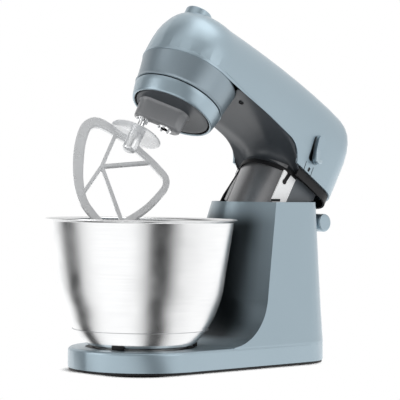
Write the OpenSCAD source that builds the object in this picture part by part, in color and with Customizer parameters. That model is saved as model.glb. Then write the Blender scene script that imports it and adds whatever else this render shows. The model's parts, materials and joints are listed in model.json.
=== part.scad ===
// Tilting-head stand mixer with a 4.3 litre bowl, planetary drive and K-shaped beater.
// Every piece is drawn with the head lowered, +Y to the rear and the bowl axis at Y = 0,
// then raise() turns the head's pieces about the hinge pin and place() moves the whole
// mixer so that its origin lies on the bench under the middle of its box.

/* [Pose] */
// Angle of the head above level, degrees
tilt = 31.6; // [0:0.1:32]

/* [Base] */
// Half width of the foot of the base round the bowl
base_nose_r = 86; // [80:0.5:92]
// Height of the top face of the base above the bench
base_top = 28; // [26:0.5:30]
// Distance from the bowl axis to the back of the column
base_rear = 266; // [260:1:272]
// Half width of the column at its foot
foot_half_w = 84; // [80:0.5:88]
// Radius of the rear corners at the foot
foot_corner_r = 56; // [48:1:58]
// Wall thickness of the housings
wall = 3; // [2.4:0.1:3.2]
// Radius of the rounded upper edge of the base
base_edge_r = 4; // [3:0.5:5]
// Thickness of the bottom plate
plate_t = 3; // [2.5:0.1:3.5]
// Height that the rubber feet stand below the bottom plate
foot_h = 1.2; // [1:0.1:1.6]
// Radius of one rubber foot
foot_r = 11; // [9:0.5:13]

/* [Column] */
// Height of the top rim of the column
column_top = 201.5; // [198:0.5:204]
// Half width of the column at its rim
rim_half_w = 57; // [55:0.5:59]
// Radius of the rear corners at the rim
rim_corner_r = 35; // [30:1:38]
// Distance from the bowl axis to the side edges of the rim
rim_front = 172.7; // [170:0.5:176]
// How far the front of the column bulges past its side edges
front_bulge = 31; // [29:0.5:33]
// Slope of the front edge, millimetres back for each millimetre up
front_slope = 0.264; // [0.24:0.005:0.29]
// Radius of the sweep from the column into the base
sweep_r = 75; // [70:1:80]

/* [Hinge] */
// Height of the hinge pin above the bench
hinge_z = 174.2; // [172:0.2:177]
// Distance from the bowl axis back to the hinge pin
hinge_y = 205; // [203:0.5:207]
// Radius of the hinge pin
pin_r = 5; // [4:0.25:6]
// Half of the distance between the outer faces of the two hinge cheeks
cheek_out = 49; // [47:0.5:50]
// Thickness of a hinge cheek
cheek_t = 4; // [3:0.25:4.5]
// Radius of the pin in the neck's guide plates
guide_pin_r = 2.9; // [2.5:0.1:3.2]

/* [Head] */
// Height of the seam between the upper and the lower shell
seam_z = 263; // [261:0.5:265]
// Radius of the nose about the hub axis at the seam
nose_r = 62; // [60.5:0.25:63]
// Half width of the head at its back
back_half_w = 55; // [53:0.5:56.5]
// Distance from the bowl axis to the back of the head
head_rear = 264; // [262:0.2:266]
// Radius of the rear corners of the head
head_corner_r = 32; // [28:1:36]
// Height of the top line above the nose
top_front = 332; // [330:0.5:335]
// Height of the top line above the back
top_rear = 350.5; // [348:0.5:353]
// Height of the bottom edge of the collar round the neck
lip_z = 230; // [228:0.5:232]

/* [Hub] */
// Height of the face of the hub ring with the head lowered
ring_z = 205.4; // [204:0.2:207]
// Radius of the hub ring at its face
ring_r = 51; // [50:0.25:52]
// Height of the seam between hub ring and hub housing
hub_seam_z = 229.4; // [228:0.2:231]
// Radius of the hub at that seam
hub_seam_r = 56; // [55:0.25:57]

/* [Gears] */
// Module of the planetary gears
gear_module = 1.4; // [1.35:0.01:1.42]
// Teeth of the planet and of the sun gear; the ring gear has three times as many
small_teeth = 20; // [19, 20]
// Height of the gear teeth along their axis
gear_h = 12; // [9:0.5:13]
// Angle of the planet's arm in plan, measured from +X
arm_angle = -135; // [-140:1:-130]

/* [Tools] */
// Radius of a tool shank
shank_r = 4.5; // [4:0.1:5]
// Radial clearance of a shank in its socket
shank_gap = 0.1; // [0.05:0.01:0.15]
// Depth of a tool socket
socket_depth = 26; // [22:0.5:27]
// How far the sockets stand below the hub ring
socket_drop = 22; // [20:0.5:24]
// Radius of the splash disc above the beater
disc_r = 32; // [29:0.5:32.5]
// Thickness of the beater frame across its plane
beater_t = 7; // [6:0.5:9]
// Clearance between the beater and the floor of the bowl
beater_floor_gap = 6.5; // [5:0.5:9]

/* [Bowl] */
// Height of the bowl rim above the bench
bowl_rim_z = 180.8; // [178:0.2:183]
// Outer radius of the flared rim
bowl_rim_r = 114.6; // [112:0.2:116]
// Outer radius of the wall just under the rim
bowl_wall_r = 110.2; // [108:0.2:111]
// Slope of the upper wall, millimetres out for each millimetre up
bowl_slope = 0.151; // [0.14:0.001:0.16]
// Height at which the upper wall turns into the round lower part
bowl_turn_z = 98; // [94:0.5:102]
// Radius of the round lower part in section
bowl_round_r = 118; // [114:1:122]
// Thickness of the steel
steel_t = 1; // [0.8:0.1:1.4]
// Height of the outside of the bowl's floor
bowl_floor_z = 28; // [27.5:0.1:28.5]
// How far inside the upper wall the foot that drops into the seat stands
bowl_foot_in = 54.2; // [53:0.2:57]
// Depth of that foot below the top face of the base
bowl_foot_depth = 6; // [5:0.25:7]

/* [Controls] */
// Distance from the bowl axis to the pivot of the speed lever
lever_y = 189; // [187:0.5:191]
// Height of that pivot with the head lowered
lever_z = 288; // [286:0.5:290]
// Length of the speed lever from its pivot down to the middle of its tip
lever_len = 25; // [22:0.5:27]
// Radius of the speed lever's round lower end
lever_r = 6.4; // [5.6:0.1:6.8]
// Radius of the release button on the nose
button_r = 17; // [15:0.25:18]
// Distance that the release button stands in front of the hub axis
button_y = 27; // [24:0.5:29]
// Travel of the release button
button_travel = 4; // [3:0.25:5]
// Height of the release bar behind the column
bar_z = 175; // [172:0.5:178]
// Half length of the release bar
bar_half = 44; // [40:0.5:46]
// Radius of the release bar
bar_r = 11.5; // [10:0.25:12]

/* [Fits] */
// Running clearance, on the radius, of pins and shafts
run_gap = 0.05; // [0.03:0.01:0.08]
// Gap between shells that meet
seam_gap = 0.4; // [0.3:0.05:0.6]
// Gap between pieces that pass each other
part_gap = 1; // [0.6:0.1:1.4]

/* [Hidden] */
$fn = 96;

spine_end = head_rear - nose_r;
ring_teeth = 3 * small_teeth;
bowl_foot_r = bowl_wall_r - bowl_foot_in;
arm_r = gear_module * (ring_teeth - small_teeth) / 2;
arm_x = arm_r * cos(arm_angle);
arm_y = arm_r * sin(arm_angle);
socket_z = ring_z - socket_drop;
beater_low_z = bowl_floor_z + steel_t + beater_floor_gap;

// Radius and height of the highest edge of the raised head behind the hinge.
rear_edges = [for (p = [[head_rear, seam_z], [head_rear - 0.4, seam_z + 18], [head_rear - 2.6, seam_z + 47],
    [head_rear - 10.6, seam_z + 73], [head_rear - 21.6, seam_z + 84]])
    hinge_y + (p[0] - hinge_y) * cos(tilt) + (p[1] - hinge_z) * sin(tilt)];
middle_y = (max(rear_edges) - bowl_rim_r) / 2;

module place() { translate([0, -middle_y, 0]) children(); }

module raise() {
    place() translate([0, hinge_y, hinge_z]) rotate([-tilt, 0, 0]) translate([0, -hinge_y, -hinge_z])
        children();
}

function clamp(v, low, high) = min(max(v, low), high);

// A closed skin over rings of points. Each ring mirrors itself about X = 0: point j faces
// point count - 1 - j, so the two ends close with strips across.
module skin(rings) {
    count = len(rings[0]);
    half = count / 2;
    last = len(rings) - 1;
    points = [for (ring = rings) for (p = ring) p];
    sides = [for (i = [0:last - 1]) for (j = [0:count - 1])
        let (k = (j + 1) % count)
        each [[i * count + j, (i + 1) * count + j, (i + 1) * count + k],
            [i * count + j, (i + 1) * count + k, i * count + k]]];
    bottom = [for (j = [0:half - 2]) each [[j, j + 1, count - 2 - j], [j, count - 2 - j, count - 1 - j]]];
    top = [for (f = bottom) [for (v = [2, 1, 0]) f[v] + last * count]];
    polyhedron(points, concat(sides, bottom, top), convexity = 6);
}

// The left half of an outline is its right half mirrored, in the opposite order.
function both_halves(right) = concat(right, [for (i = [len(right) - 1:-1:0]) [-right[i][0], right[i][1]]]);

// Right half of a plan with a round nose of radius r about the origin and rounded rear corners.
function nose_plan(r, w, y_rear, corner) = concat(
    [for (a = [-87.5:12.5:0]) [r * cos(a), r * sin(a)]],
    [for (t = [1:6]) [r + (w - r) * t / 7, (y_rear - corner) * t / 7]],
    [for (a = [0:15:90]) [w - corner + corner * cos(a), y_rear - corner + corner * sin(a)]]);

module ring_of(outer, inner, h) {
    difference() {
        cylinder(r = outer, h = h);
        translate([0, 0, -1]) cylinder(r = inner, h = h + 2);
    }
}

module along_x(from, to, r) {
    translate([from, 0, 0]) rotate([0, 90, 0]) cylinder(r = r, h = to - from);
}

// Extrudes a side profile, drawn as (y, z), from one x to another.
module side_profile(from, to) {
    translate([from, 0, 0]) rotate([90, 0, 90]) linear_extrude(to - from) children();
}

module coil(r, wire_r, turns, h) {
    steps = turns * 12;
    sides = 6;
    rings = [for (i = [0:steps]) let (a = 360 * turns * i / steps)
        [for (j = [0:sides - 1]) let (b = 360 * j / sides)
            [(r + wire_r * cos(b)) * cos(a), (r + wire_r * cos(b)) * sin(a),
                wire_r * sin(b) + h * i / steps]]];
    points = [for (ring = rings) for (p = ring) p];
    faces = [for (i = [0:steps - 1]) for (j = [0:sides - 1]) let (k = (j + 1) % sides)
        each [[i * sides + j, (i + 1) * sides + j, (i + 1) * sides + k],
            [i * sides + j, (i + 1) * sides + k, i * sides + k]]];
    ends = [for (j = [1:sides - 2]) each [[0, j, j + 1],
        [steps * sides, steps * sides + j + 1, steps * sides + j]]];
    polyhedron(points, concat(faces, ends), convexity = 10);
}

// ---- Base and column ----

function base_plan(inset) = nose_plan(base_nose_r - inset, foot_half_w - inset, base_rear - inset,
    foot_corner_r - inset);

module base_slab(inset, from, to, edge) {
    levels = [for (a = [0:15:90]) a];
    skin(concat([[for (p = both_halves(base_plan(inset))) [p[0], p[1], from]]],
        [for (a = levels) let (d = edge * (1 - cos(a)))
            [for (p = both_halves(base_plan(inset + d))) [p[0], p[1], to - edge * (1 - sin(a))]]]));
}

sweep_y = rim_front - front_slope * (column_top - base_top - sweep_r * (1 - sin(atan(front_slope))))
    - sweep_r * cos(atan(front_slope));
sweep_top = base_top + sweep_r * (1 - sin(atan(front_slope)));

// Distance from the bowl axis to the side edge of the column at height z.
function column_front(z) = z > sweep_top ? rim_front - front_slope * (column_top - z)
    : sweep_y + sqrt(max(0, pow(sweep_r, 2) - pow(base_top + sweep_r - z, 2)));
function column_share(z) = clamp((z - base_top) / (column_top - base_top), 0, 1);
function column_half_w(z) = foot_half_w + (rim_half_w - foot_half_w) * pow(column_share(z), 0.92);
function column_corner(z) = foot_corner_r + (rim_corner_r - foot_corner_r) * column_share(z);
function column_bulge(z) = 8 + (front_bulge - 8) * clamp(column_share(z) * 2.4, 0, 1);

function column_plan(z, inset) =
    let (w = column_half_w(z) - inset, f = column_front(z) + inset, b = column_bulge(z),
        rear = base_rear - inset, corner = column_corner(z) - inset)
    concat([for (t = [0.04:0.16:0.9]) [w * t, f - b * (1 - pow(t, 2))]], [[w, f]],
        [for (t = [1:3]) [w, f + (rear - corner - f) * t / 4]],
        [for (a = [0:15:90]) [w - corner + corner * cos(a), rear - corner + corner * sin(a)]]);

module column_body(inset, from, to) {
    heights = [for (i = [0:16]) base_top + 0.3 + (sweep_top - base_top - 0.3) * pow(i / 16, 1.6)];
    levels = concat([from], [for (h = heights) if (h > from + 0.5) h],
        [sweep_top + 40, sweep_top + 80, to]);
    skin([for (z = levels) [for (p = both_halves(column_plan(clamp(z, base_top + 0.3, column_top), inset)))
        [p[0], p[1], z]]]);
}

seat_r = bowl_foot_r + 9;
seat_depth = bowl_foot_depth + 4;
seat_cup_z = base_top - seat_depth - wall;
plate_top = foot_h + plate_t;
boss_top = base_top - wall + 0.5;
cord_z = 16;
cord_hole_r = 8;

module base_housing() {
    color([0.55, 0.66, 0.72]) place() difference() {
        union() {
            difference() {
                union() {
                    base_slab(0, plate_top, base_top, base_edge_r);
                    column_body(0, base_top - 6, column_top);
                }
                base_slab(wall, foot_h, base_top - wall, 1);
                column_body(wall, base_top - wall - 6, column_top + 1);
            }
            translate([0, 0, seat_cup_z]) cylinder(r = seat_r + seam_gap + wall, h = boss_top - seat_cup_z);
            for (p = screw_places) translate([p[0], p[1], plate_top])
                cylinder(r = 5.5, h = boss_top - plate_top);
        }
        translate([0, 0, base_top - seat_depth]) cylinder(r = seat_r + seam_gap, h = seat_depth + 1);
        for (p = screw_places) translate([p[0], p[1], foot_h])
            cylinder(r = screw_r + run_gap, h = screw_h + 0.5);
        translate([0, base_rear - 10, cord_z]) rotate([-90, 0, 0]) cylinder(r = cord_hole_r, h = 20);
        bar_slots();
    }
}

module bar_slots() {
    for (side = [-1, 1]) translate([side * arm_x_mid - arm_w / 2 - part_gap, base_rear - 10, bar_z - 11])
        cube([arm_w + 2 * part_gap, 20, 16]);
}

screw_r = 2;
screw_h = 12;
screw_head_r = 3.6;
screw_head_h = 1.2;
module base_plate() {
    color([0.1, 0.1, 0.11]) place() difference() {
        translate([0, 0, foot_h]) linear_extrude(plate_t) polygon(both_halves(base_plan(1)));
        for (p = foot_places) translate([p[0], p[1], foot_h - 1]) cylinder(r = foot_r - 3, h = plate_t + 2);
        for (p = screw_places) translate([p[0], p[1], foot_h - 1]) {
            cylinder(r = screw_r + run_gap, h = plate_t + 2);
            cylinder(r = screw_head_r + run_gap, h = screw_head_h + 1);
        }
    }
}

foot_places = [[0, -66], [62, -6], [-62, -6], [58, base_rear - 34], [-58, base_rear - 34]];
screw_places = [[42, -44], [-42, -44], [77, 60], [-77, 60], [76, 160], [-76, 160], [24, base_rear - 8],
    [-24, base_rear - 8]];

module rubber_feet() {
    color([0.15, 0.15, 0.16]) place() for (p = foot_places) translate([p[0], p[1], 0]) {
        rotate_extrude() polygon([[0, 0], [foot_r - 1, 0], [foot_r, 1], [foot_r, foot_h],
            [foot_r - 3.2, foot_h], [foot_r - 3.2, foot_h + plate_t], [0, foot_h + plate_t]]);
    }
}

module base_screws() {
    color([0.6, 0.6, 0.62]) place() for (p = screw_places) translate([p[0], p[1], foot_h]) {
        cylinder(r = screw_head_r, h = screw_head_h);
        cylinder(r = screw_r, h = screw_h);
    }
}

// Ring in the top of the base that the bowl's foot drops into, with three bayonet lugs.
lug_count = 3;
lug_angle = 26;
module bowl_seat() {
    color([0.13, 0.13, 0.14]) place() translate([0, 0, base_top - seat_depth]) {
        ring_of(seat_r, bowl_foot_r + part_gap, seat_depth - 0.6);
        cylinder(r = bowl_foot_r + part_gap + 1, h = seat_depth - bowl_foot_depth - run_gap);
        for (i = [0:lug_count - 1]) rotate(i * 360 / lug_count + 90) translate([0, 0, seat_depth - 3.6])
            rotate(-lug_angle / 2) rotate_extrude(angle = lug_angle)
                translate([bowl_foot_r - 2.6, 0]) square([4.6, 3]);
    }
}

// ---- Hinge, fixed side ----

module hinge_bracket() {
    color([0.62, 0.63, 0.65]) place() difference() {
        union() {
            for (side = [-1, 1]) side_profile(side > 0 ? cheek_out - cheek_t : -cheek_out,
                side > 0 ? cheek_out : cheek_t - cheek_out) {
                translate([hinge_y, hinge_z]) circle(r = 17);
                polygon([[hinge_y - 17, hinge_z], [hinge_y + 17, hinge_z], [hinge_y + 26, 110],
                    [hinge_y - 26, 110]]);
            }
            translate([-cheek_out, hinge_y - 26, 106]) cube([2 * cheek_out, 52, 5]);
            for (side = [-1, 1]) translate([side * 40 - 4, hinge_y - 22, foot_h + plate_t])
                cube([8, 44, 106 - foot_h - plate_t]);
        }
        translate([0, hinge_y, hinge_z]) along_x(-60, 60, pin_r + run_gap);
    }
}

module hinge_pin() {
    color([0.75, 0.76, 0.78]) place() translate([0, hinge_y, hinge_z]) {
        along_x(-cheek_out - 2, cheek_out + 2, pin_r);
        along_x(-cheek_out - 3.6, -cheek_out - 2, pin_r + 3);
        along_x(cheek_out + 2, cheek_out + 3.6, pin_r - 1);
    }
}

// Coil round the pin that carries part of the head's weight.
spring_in = 20;
module lift_spring() {
    color([0.3, 0.3, 0.31]) place() translate([0, hinge_y, hinge_z]) {
        translate([-spring_in, 0, 0]) rotate([0, 90, 0]) coil(pin_r + 3.4, 1.2, 9, 2 * spring_in);
    }
}

// ---- Rear of the column ----

cord_r = 3.6;
module cord_bush() {
    color([0.12, 0.12, 0.13]) place() translate([0, base_rear - wall, cord_z]) rotate([-90, 0, 0])
        difference() {
            union() {
                translate([0, 0, -0.2]) cylinder(r = cord_hole_r - 0.1, h = wall + 0.6);
                translate([0, 0, wall + 0.2]) cylinder(r = 10, h = 1.6);
                translate([0, 0, -2]) cylinder(r = 9.6, h = 1.8);
            }
            translate([0, 0, -3]) cylinder(r = cord_r, h = wall + 6);
        }
}

// Bar that is pressed down to free the head. Its two arms pass through the back wall and
// turn on a short pin just inside it, with the pawl between them.
bar_y = base_rear + 12;
latch_y = base_rear - 8.5;
latch_pin_r = 2;
arm_x_mid = 24;
arm_w = 6;
module release_bar() {
    color([0.5, 0.62, 0.68]) place() {
        translate([0, bar_y, bar_z]) {
            along_x(-bar_half + 3, bar_half - 3, bar_r);
            for (side = [-1, 1]) translate([side * (bar_half - 3), 0, 0]) rotate([0, side * 90, 0])
                rotate_extrude() intersection() {
                    translate([bar_r - 3, 0]) circle(r = 3);
                    square([bar_r, 3]);
                }
            for (side = [-1, 1]) translate([side * (bar_half - 3), 0, 0]) rotate([0, side * 90, 0])
                cylinder(r = bar_r - 3, h = 3);
        }
        for (side = [-1, 1]) difference() {
            union() {
                translate([side * arm_x_mid - arm_w / 2, latch_y, bar_z - 3])
                    cube([arm_w, bar_y - latch_y - bar_r + 1, 6]);
                translate([side * arm_x_mid, latch_y, bar_z]) along_x(-arm_w / 2, arm_w / 2, 4);
            }
            translate([side * arm_x_mid, latch_y, bar_z]) along_x(-9, 9, latch_pin_r + run_gap);
        }
    }
}

module head_latch() {
    color([0.5, 0.51, 0.53]) place() difference() {
        union() {
            translate([0, latch_y, bar_z]) along_x(-arm_x_mid + arm_w / 2, arm_x_mid - arm_w / 2, 3.6);
            translate([-5, latch_y - 4.9, bar_z - 1.4]) cube([10, 4, 2.8]);
        }
        translate([0, latch_y, bar_z]) along_x(-30, 30, latch_pin_r + run_gap);
    }
}

module latch_pin() {
    color([0.75, 0.76, 0.78]) place() translate([0, latch_y, bar_z])
        along_x(-arm_x_mid - arm_w - 3, arm_x_mid + arm_w + 3, latch_pin_r);
}

module latch_brackets() {
    color([0.62, 0.63, 0.65]) place() for (side = [-1, 1]) difference() {
        intersection() {
            translate([side * (arm_x_mid + arm_w) - 1.5, latch_y - 5, bar_z - 12])
                cube([3, base_rear - latch_y + 5, 24]);
            column_body(wall, base_top, column_top);
        }
        translate([side * (arm_x_mid + arm_w), latch_y, bar_z]) along_x(-9, 9, latch_pin_r + run_gap);
    }
}

module release_spring() {
    color([0.7, 0.7, 0.72]) place() translate([-12.4, latch_y, bar_z]) rotate([0, 90, 0])
        coil(4.4, 0.55, 4, 3.8);
}

// ---- Head shells ----

function spine_y(y) = clamp(y, 0, spine_end);
function roundness(y) = 2.6 + 0.9 * clamp(y / spine_end, 0, 1);
end_roundness = 3.9;
function top_line(y) = top_rear - (top_rear - top_front) * pow(clamp((spine_end - y) / spine_end, 0, 1), 1.7);
function head_plan(inset) = both_halves(nose_plan(nose_r - inset, back_half_w - inset,
    head_rear - inset, head_corner_r - inset));

dome_z = seam_z - 1.5;

// Point of the domed top over a point b of the plan, at the angle a from the seam to the crown.
function dome_point(b, a, inset) =
    let (s = spine_y(b[1]), p = roundness(b[1]), y = s + pow(cos(a), 2 / end_roundness) * (b[1] - s))
    [pow(cos(a), 2 / p) * b[0], y, dome_z + pow(sin(a), 2 / p) * (top_line(y) - inset - dome_z)];

module head_solid(inset, from) {
    plan = head_plan(inset);
    skin(concat([[for (b = plan) [b[0], b[1], from]]],
        [for (a = [0, 10, 20, 30, 40, 50, 60, 70, 78, 84, 88]) [for (b = plan) dome_point(b, a, inset)]]));
}

seam_bend_y = 140;
seam_bend_r = 30;
skirt_edge = 12;
// Side profile of the dark lower shell, drawn as (y, z).
module lower_region(grow, from) {
    r = seam_bend_r + grow;
    translate([-200, from]) square([200 + seam_bend_y, seam_z + grow - from]);
    translate([-200, from]) square([200 + seam_bend_y + r, seam_z - seam_bend_r - from]);
    translate([seam_bend_y, seam_z - seam_bend_r]) circle(r = r);
}

screw_boss_r = 4;
screw_boss_h = 13;
module top_shell() {
    color([0.6, 0.71, 0.77]) raise() difference() {
        union() {
            difference() {
                head_solid(0, lip_z + skirt_edge);
                head_solid(wall, lip_z - 10);
            }
            intersection() {
                head_solid(wall - 0.5, seam_z - seam_gap);
                for (p = head_screws) translate([p[0], p[1], seam_z - seam_gap]) {
                    cylinder(r = screw_boss_r, h = screw_boss_h);
                    translate([p[0] > 0 ? 0 : -20, -1, 0]) cube([20, 2, screw_boss_h]);
                }
            }
        }
        difference() {
            side_profile(-100, 100) lower_region(0, lip_z - 20);
            for (p = head_screws) translate([p[0], p[1], seam_z - seam_gap])
                cylinder(r = screw_boss_r, h = 1);
        }
        translate([0, -button_y, seam_z]) cylinder(r = button_r + part_gap, h = 100);
        strip_part(seam_gap, 10, 10);
        lever_slot();
        for (p = head_screws) translate([p[0], p[1], seam_z - 1]) cylinder(r = 1.6 + run_gap, h = 11);
    }
}

// Low lid let into the crown. It stands prouder at its back than at its front.
strip_from = 30;
strip_to = 146;
strip_half_w = 14;
strip_corner = 8;
strip_depth = 1.6;
strip_front_t = 0.8;
strip_rear_t = 2.6;

// What lies in the lid's outline, widened by gap, from its bed up to rise(share) over the crown.
module strip_part(gap, front_rise, rear_rise) {
    steps = [for (i = [0:16]) i / 16];
    function along(t) = strip_from - gap + (strip_to - strip_from + 2 * gap) * t;
    intersection() {
        side_profile(-strip_half_w - 5, strip_half_w + 5) polygon(concat(
            [for (t = steps) [along(t), top_line(along(t)) - strip_depth]],
            [for (i = [16:-1:0]) let (t = steps[i])
                [along(t), top_line(along(t)) + front_rise + (rear_rise - front_rise) * t]]));
        hull() for (x = [-1, 1]) for (y = [strip_from + strip_corner, strip_to - strip_corner])
            translate([x * (strip_half_w - strip_corner), y, seam_z]) cylinder(r = strip_corner + gap, h = 120);
    }
}

module top_strip() {
    color([0.42, 0.5, 0.55]) raise() strip_part(0, strip_front_t, strip_rear_t);
}

head_screws = [[38, 61], [-38, 61]];
under_z = lip_z + 31;
neck_axis_y = 216;
lip_r = 70;
lower_inset = 1.2;

// Collar round the neck: a hollow curve swept about an upright axis behind the hinge.
module collar_sweep(inset) {
    translate([0, neck_axis_y, 0]) rotate_extrude() polygon(concat([[0, lip_z - inset],
        [lip_r - inset, lip_z - inset], [lip_r - inset, lip_z + 1.5]],
        [for (a = [-34:10:86]) [lip_r + 32 - (42 + inset) * cos(a), lip_z + 12 + (19 + inset / 3) * sin(a)]],
        [[300, under_z + inset / 3], [300, seam_z], [0, seam_z]]));
}

// Room inside the collar.
module neck_space() {
    intersection() {
        translate([0, neck_axis_y, 0]) cylinder(r = lip_r - 2.4, h = seam_z);
        collar_sweep(wall);
    }
}

module lower_shell() {
    color([0.24, 0.27, 0.29]) raise() difference() {
        union() {
            intersection() {
                linear_extrude(seam_z) polygon(head_plan(lower_inset));
                side_profile(-100, 100) lower_region(-seam_gap, lip_z);
                collar_sweep(0);
            }
            intersection() {
                translate([0, 0, lip_z]) linear_extrude(seam_z - seam_gap - lip_z)
                    polygon(head_plan(wall + seam_gap));
                translate([-100, seam_bend_y + seam_bend_r - 2, 0]) cube([200, 200, 400]);
            }
        }
        intersection() {
            translate([0, 0, lip_z - 5]) linear_extrude(seam_z - lip_z + 2) polygon(head_plan(2 * wall));
            neck_space();
        }
        side_profile(surface_x - wall - 3, surface_x + 9) pocket_plan(seam_gap);
        translate([0, 0, lip_z - 10]) cylinder(r = nose_r + seam_gap, h = 100);
        for (p = head_screws) translate([p[0], p[1], lip_z]) cylinder(r = 1.6 + run_gap, h = 60);
    }
}

module shell_screws() {
    color([0.35, 0.36, 0.38]) raise() for (p = head_screws) translate([p[0], p[1], under_z]) {
        translate([0, 0, -0.2]) cylinder(r = 1.6, h = 10.2);
        translate([0, 0, -1.4]) cylinder(r = 3, h = 1.2);
    }
}

// ---- Neck, carried by the head ----

neck_front_r = 51;
neck_front_y = 203.5;
neck_half_angle = 48;
neck_low = 158;
neck_t = 2.4;
neck_top = seam_z - 3;
front_top = lip_z + 12;
neck_w = 42;
neck_cut_y = 192;
reach = 44;

module arc_wall(centre_y, r, half_angle, from, to) {
    translate([0, centre_y, from]) rotate(-90 - half_angle) rotate_extrude(angle = 2 * half_angle)
        translate([r - neck_t, 0]) square([neck_t, to - from]);
}

module neck_front_shell() {
    color([0.33, 0.33, 0.34]) raise() intersection() {
        arc_wall(neck_front_y, neck_front_r, neck_half_angle, neck_low, front_top);
        union() {
            neck_space();
            translate([-100, 100, 0]) cube([200, 200, lip_z - 1]);
        }
    }
}

// Barrel-shaped wall swept about the hinge pin, so that it slides past the front of the
// column at any angle of the head. It starts where it leaves the front shell.
shield_r = 63;
shield_crown_r = 48;
shield_low = -14;
shield_high = 48;
module neck_shield() {
    half = neck_w - 4;
    curve = [for (i = [-6:6]) let (x = half * i / 6) [x, shield_r - pow(x, 2) / shield_crown_r / 2]];
    color([0.09, 0.09, 0.1]) raise() difference() {
        translate([0, hinge_y, hinge_z]) rotate([0, 90, 0]) rotate([0, 0, -90 - shield_high])
            rotate_extrude(angle = shield_high - shield_low)
            polygon(concat([for (p = curve) [p[1], p[0]]],
                [for (i = [12:-1:0]) [curve[i][1] - neck_t, curve[i][0]]]));
        translate([0, neck_front_y, neck_low - 40]) cylinder(r = neck_front_r + run_gap, h = 200);
    }
}

// What of the rear shell may dip into the column without touching its back wall.
module rear_sweep() {
    polygon(concat([for (a = [-170:8:46]) [hinge_y + reach * cos(a), hinge_z + reach * sin(a)]],
        [[hinge_y + 27, lip_z - 6], [hinge_y + 36, lip_z], [hinge_y + 36, neck_top],
            [neck_cut_y, neck_top]]));
}

module neck_rear_shell() {
    color([0.28, 0.29, 0.3]) raise() difference() {
        intersection() {
            rear_block(0);
            side_profile(-60, 60) rear_sweep();
        }
        rear_block(neck_t);
        translate([0, hinge_y, hinge_z]) along_x(-60, 60, pin_r + 4.4);
    }
}

// Solid inside of the rear shell, with round rear corners.
module rear_block(inset) {
    corner = 20 - inset;
    half = neck_w - inset;
    rear = hinge_y + reach - 4 - inset;
    low = inset > 0 ? neck_low - 60 : neck_low - 20;
    high = inset > 0 ? neck_top + 10 : neck_top;
    translate([0, 0, low]) {
        for (side = [-1, 1]) translate([side * (half - corner), rear - corner, 0])
            cylinder(r = corner, h = high - low);
        translate([corner - half, neck_cut_y - inset, 0])
            cube([2 * (half - corner), rear - neck_cut_y + inset, high - low]);
        translate([-half, neck_cut_y - inset, 0])
            cube([2 * half, rear - corner - neck_cut_y + inset, high - low]);
    }
}

// White plates in the side windows of the neck, each with a keyhole slot.
slot_y = 175.3;
slot_z = 217.9;
guide_t = 2;
guide_from = 168;
guide_low = 186;
module guide_plates() {
    color([0.92, 0.92, 0.91]) raise() for (side = [-1, 1]) difference() {
        side_profile(side > 0 ? neck_w - neck_t : neck_t - guide_t - neck_w,
            side > 0 ? neck_w - neck_t + guide_t : neck_t - neck_w)
            translate([guide_from, guide_low]) square([neck_cut_y - guide_from, lip_z + 1 - guide_low]);
        translate([0, slot_y, slot_z]) along_x(-60, 60, guide_pin_r + run_gap);
        translate([0, slot_y, slot_z]) rotate([-11, 0, 0]) translate([-60, -2, 0]) cube([120, 4, 40]);
    }
}

module guide_pin() {
    color([0.1, 0.1, 0.1]) raise() translate([0, slot_y, slot_z]) along_x(-neck_w, neck_w, guide_pin_r);
}

// Steel arms that hang the head on the hinge pin.
module hinge_arms() {
    color([0.6, 0.61, 0.63]) raise() difference() {
        union() {
            for (side = [-1, 1]) side_profile(side > 0 ? 32 : -36, side > 0 ? 36 : -32) {
                translate([hinge_y, hinge_z]) circle(r = 14);
                polygon([[hinge_y - 13, hinge_z + 5], [hinge_y + 13, hinge_z + 5],
                    [hinge_y + 22, neck_top], [hinge_y - 26, neck_top]]);
            }
            for (side = [-1, 1]) translate([0, hinge_y, hinge_z])
                along_x(side > 0 ? 24 : -cheek_out + cheek_t + part_gap,
                    side > 0 ? cheek_out - cheek_t - part_gap : -24, pin_r + 3.6);
        }
        translate([0, hinge_y, hinge_z]) along_x(-60, 60, pin_r + run_gap);
    }
}

// ---- Hub ----

module hub_housing() {
    color([0.5, 0.6, 0.65]) raise() rotate_extrude() polygon([[28, seam_z - 4], [52, seam_z - 4],
        [52, hub_seam_z + seam_gap], [hub_seam_r, hub_seam_z + seam_gap],
        [hub_seam_r + 2.2, (hub_seam_z + seam_z) / 2 - 3], [nose_r, seam_z - 4], [nose_r, seam_z - seam_gap],
        [28, seam_z - seam_gap]]);
}

ring_inner_r = 48.5;
module hub_ring() {
    color([0.56, 0.66, 0.71]) raise() rotate_extrude() polygon([[ring_inner_r, ring_z], [ring_r, ring_z],
        [ring_r + 1.6, ring_z + 2.4], [hub_seam_r - 1, hub_seam_z - 8], [hub_seam_r, hub_seam_z],
        [ring_inner_r, hub_seam_z]]);
}

// ---- Planetary drive ----

pressure_angle = 20;
function involute(base_r, a) = [base_r * (cos(a) + a * PI / 180 * sin(a)),
    base_r * (sin(a) - a * PI / 180 * cos(a))];
function turned(p, a) = [p[0] * cos(a) - p[1] * sin(a), p[0] * sin(a) + p[1] * cos(a)];
function unwind(base_r, r) = sqrt(pow(r / base_r, 2) - 1) * 180 / PI;

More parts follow.
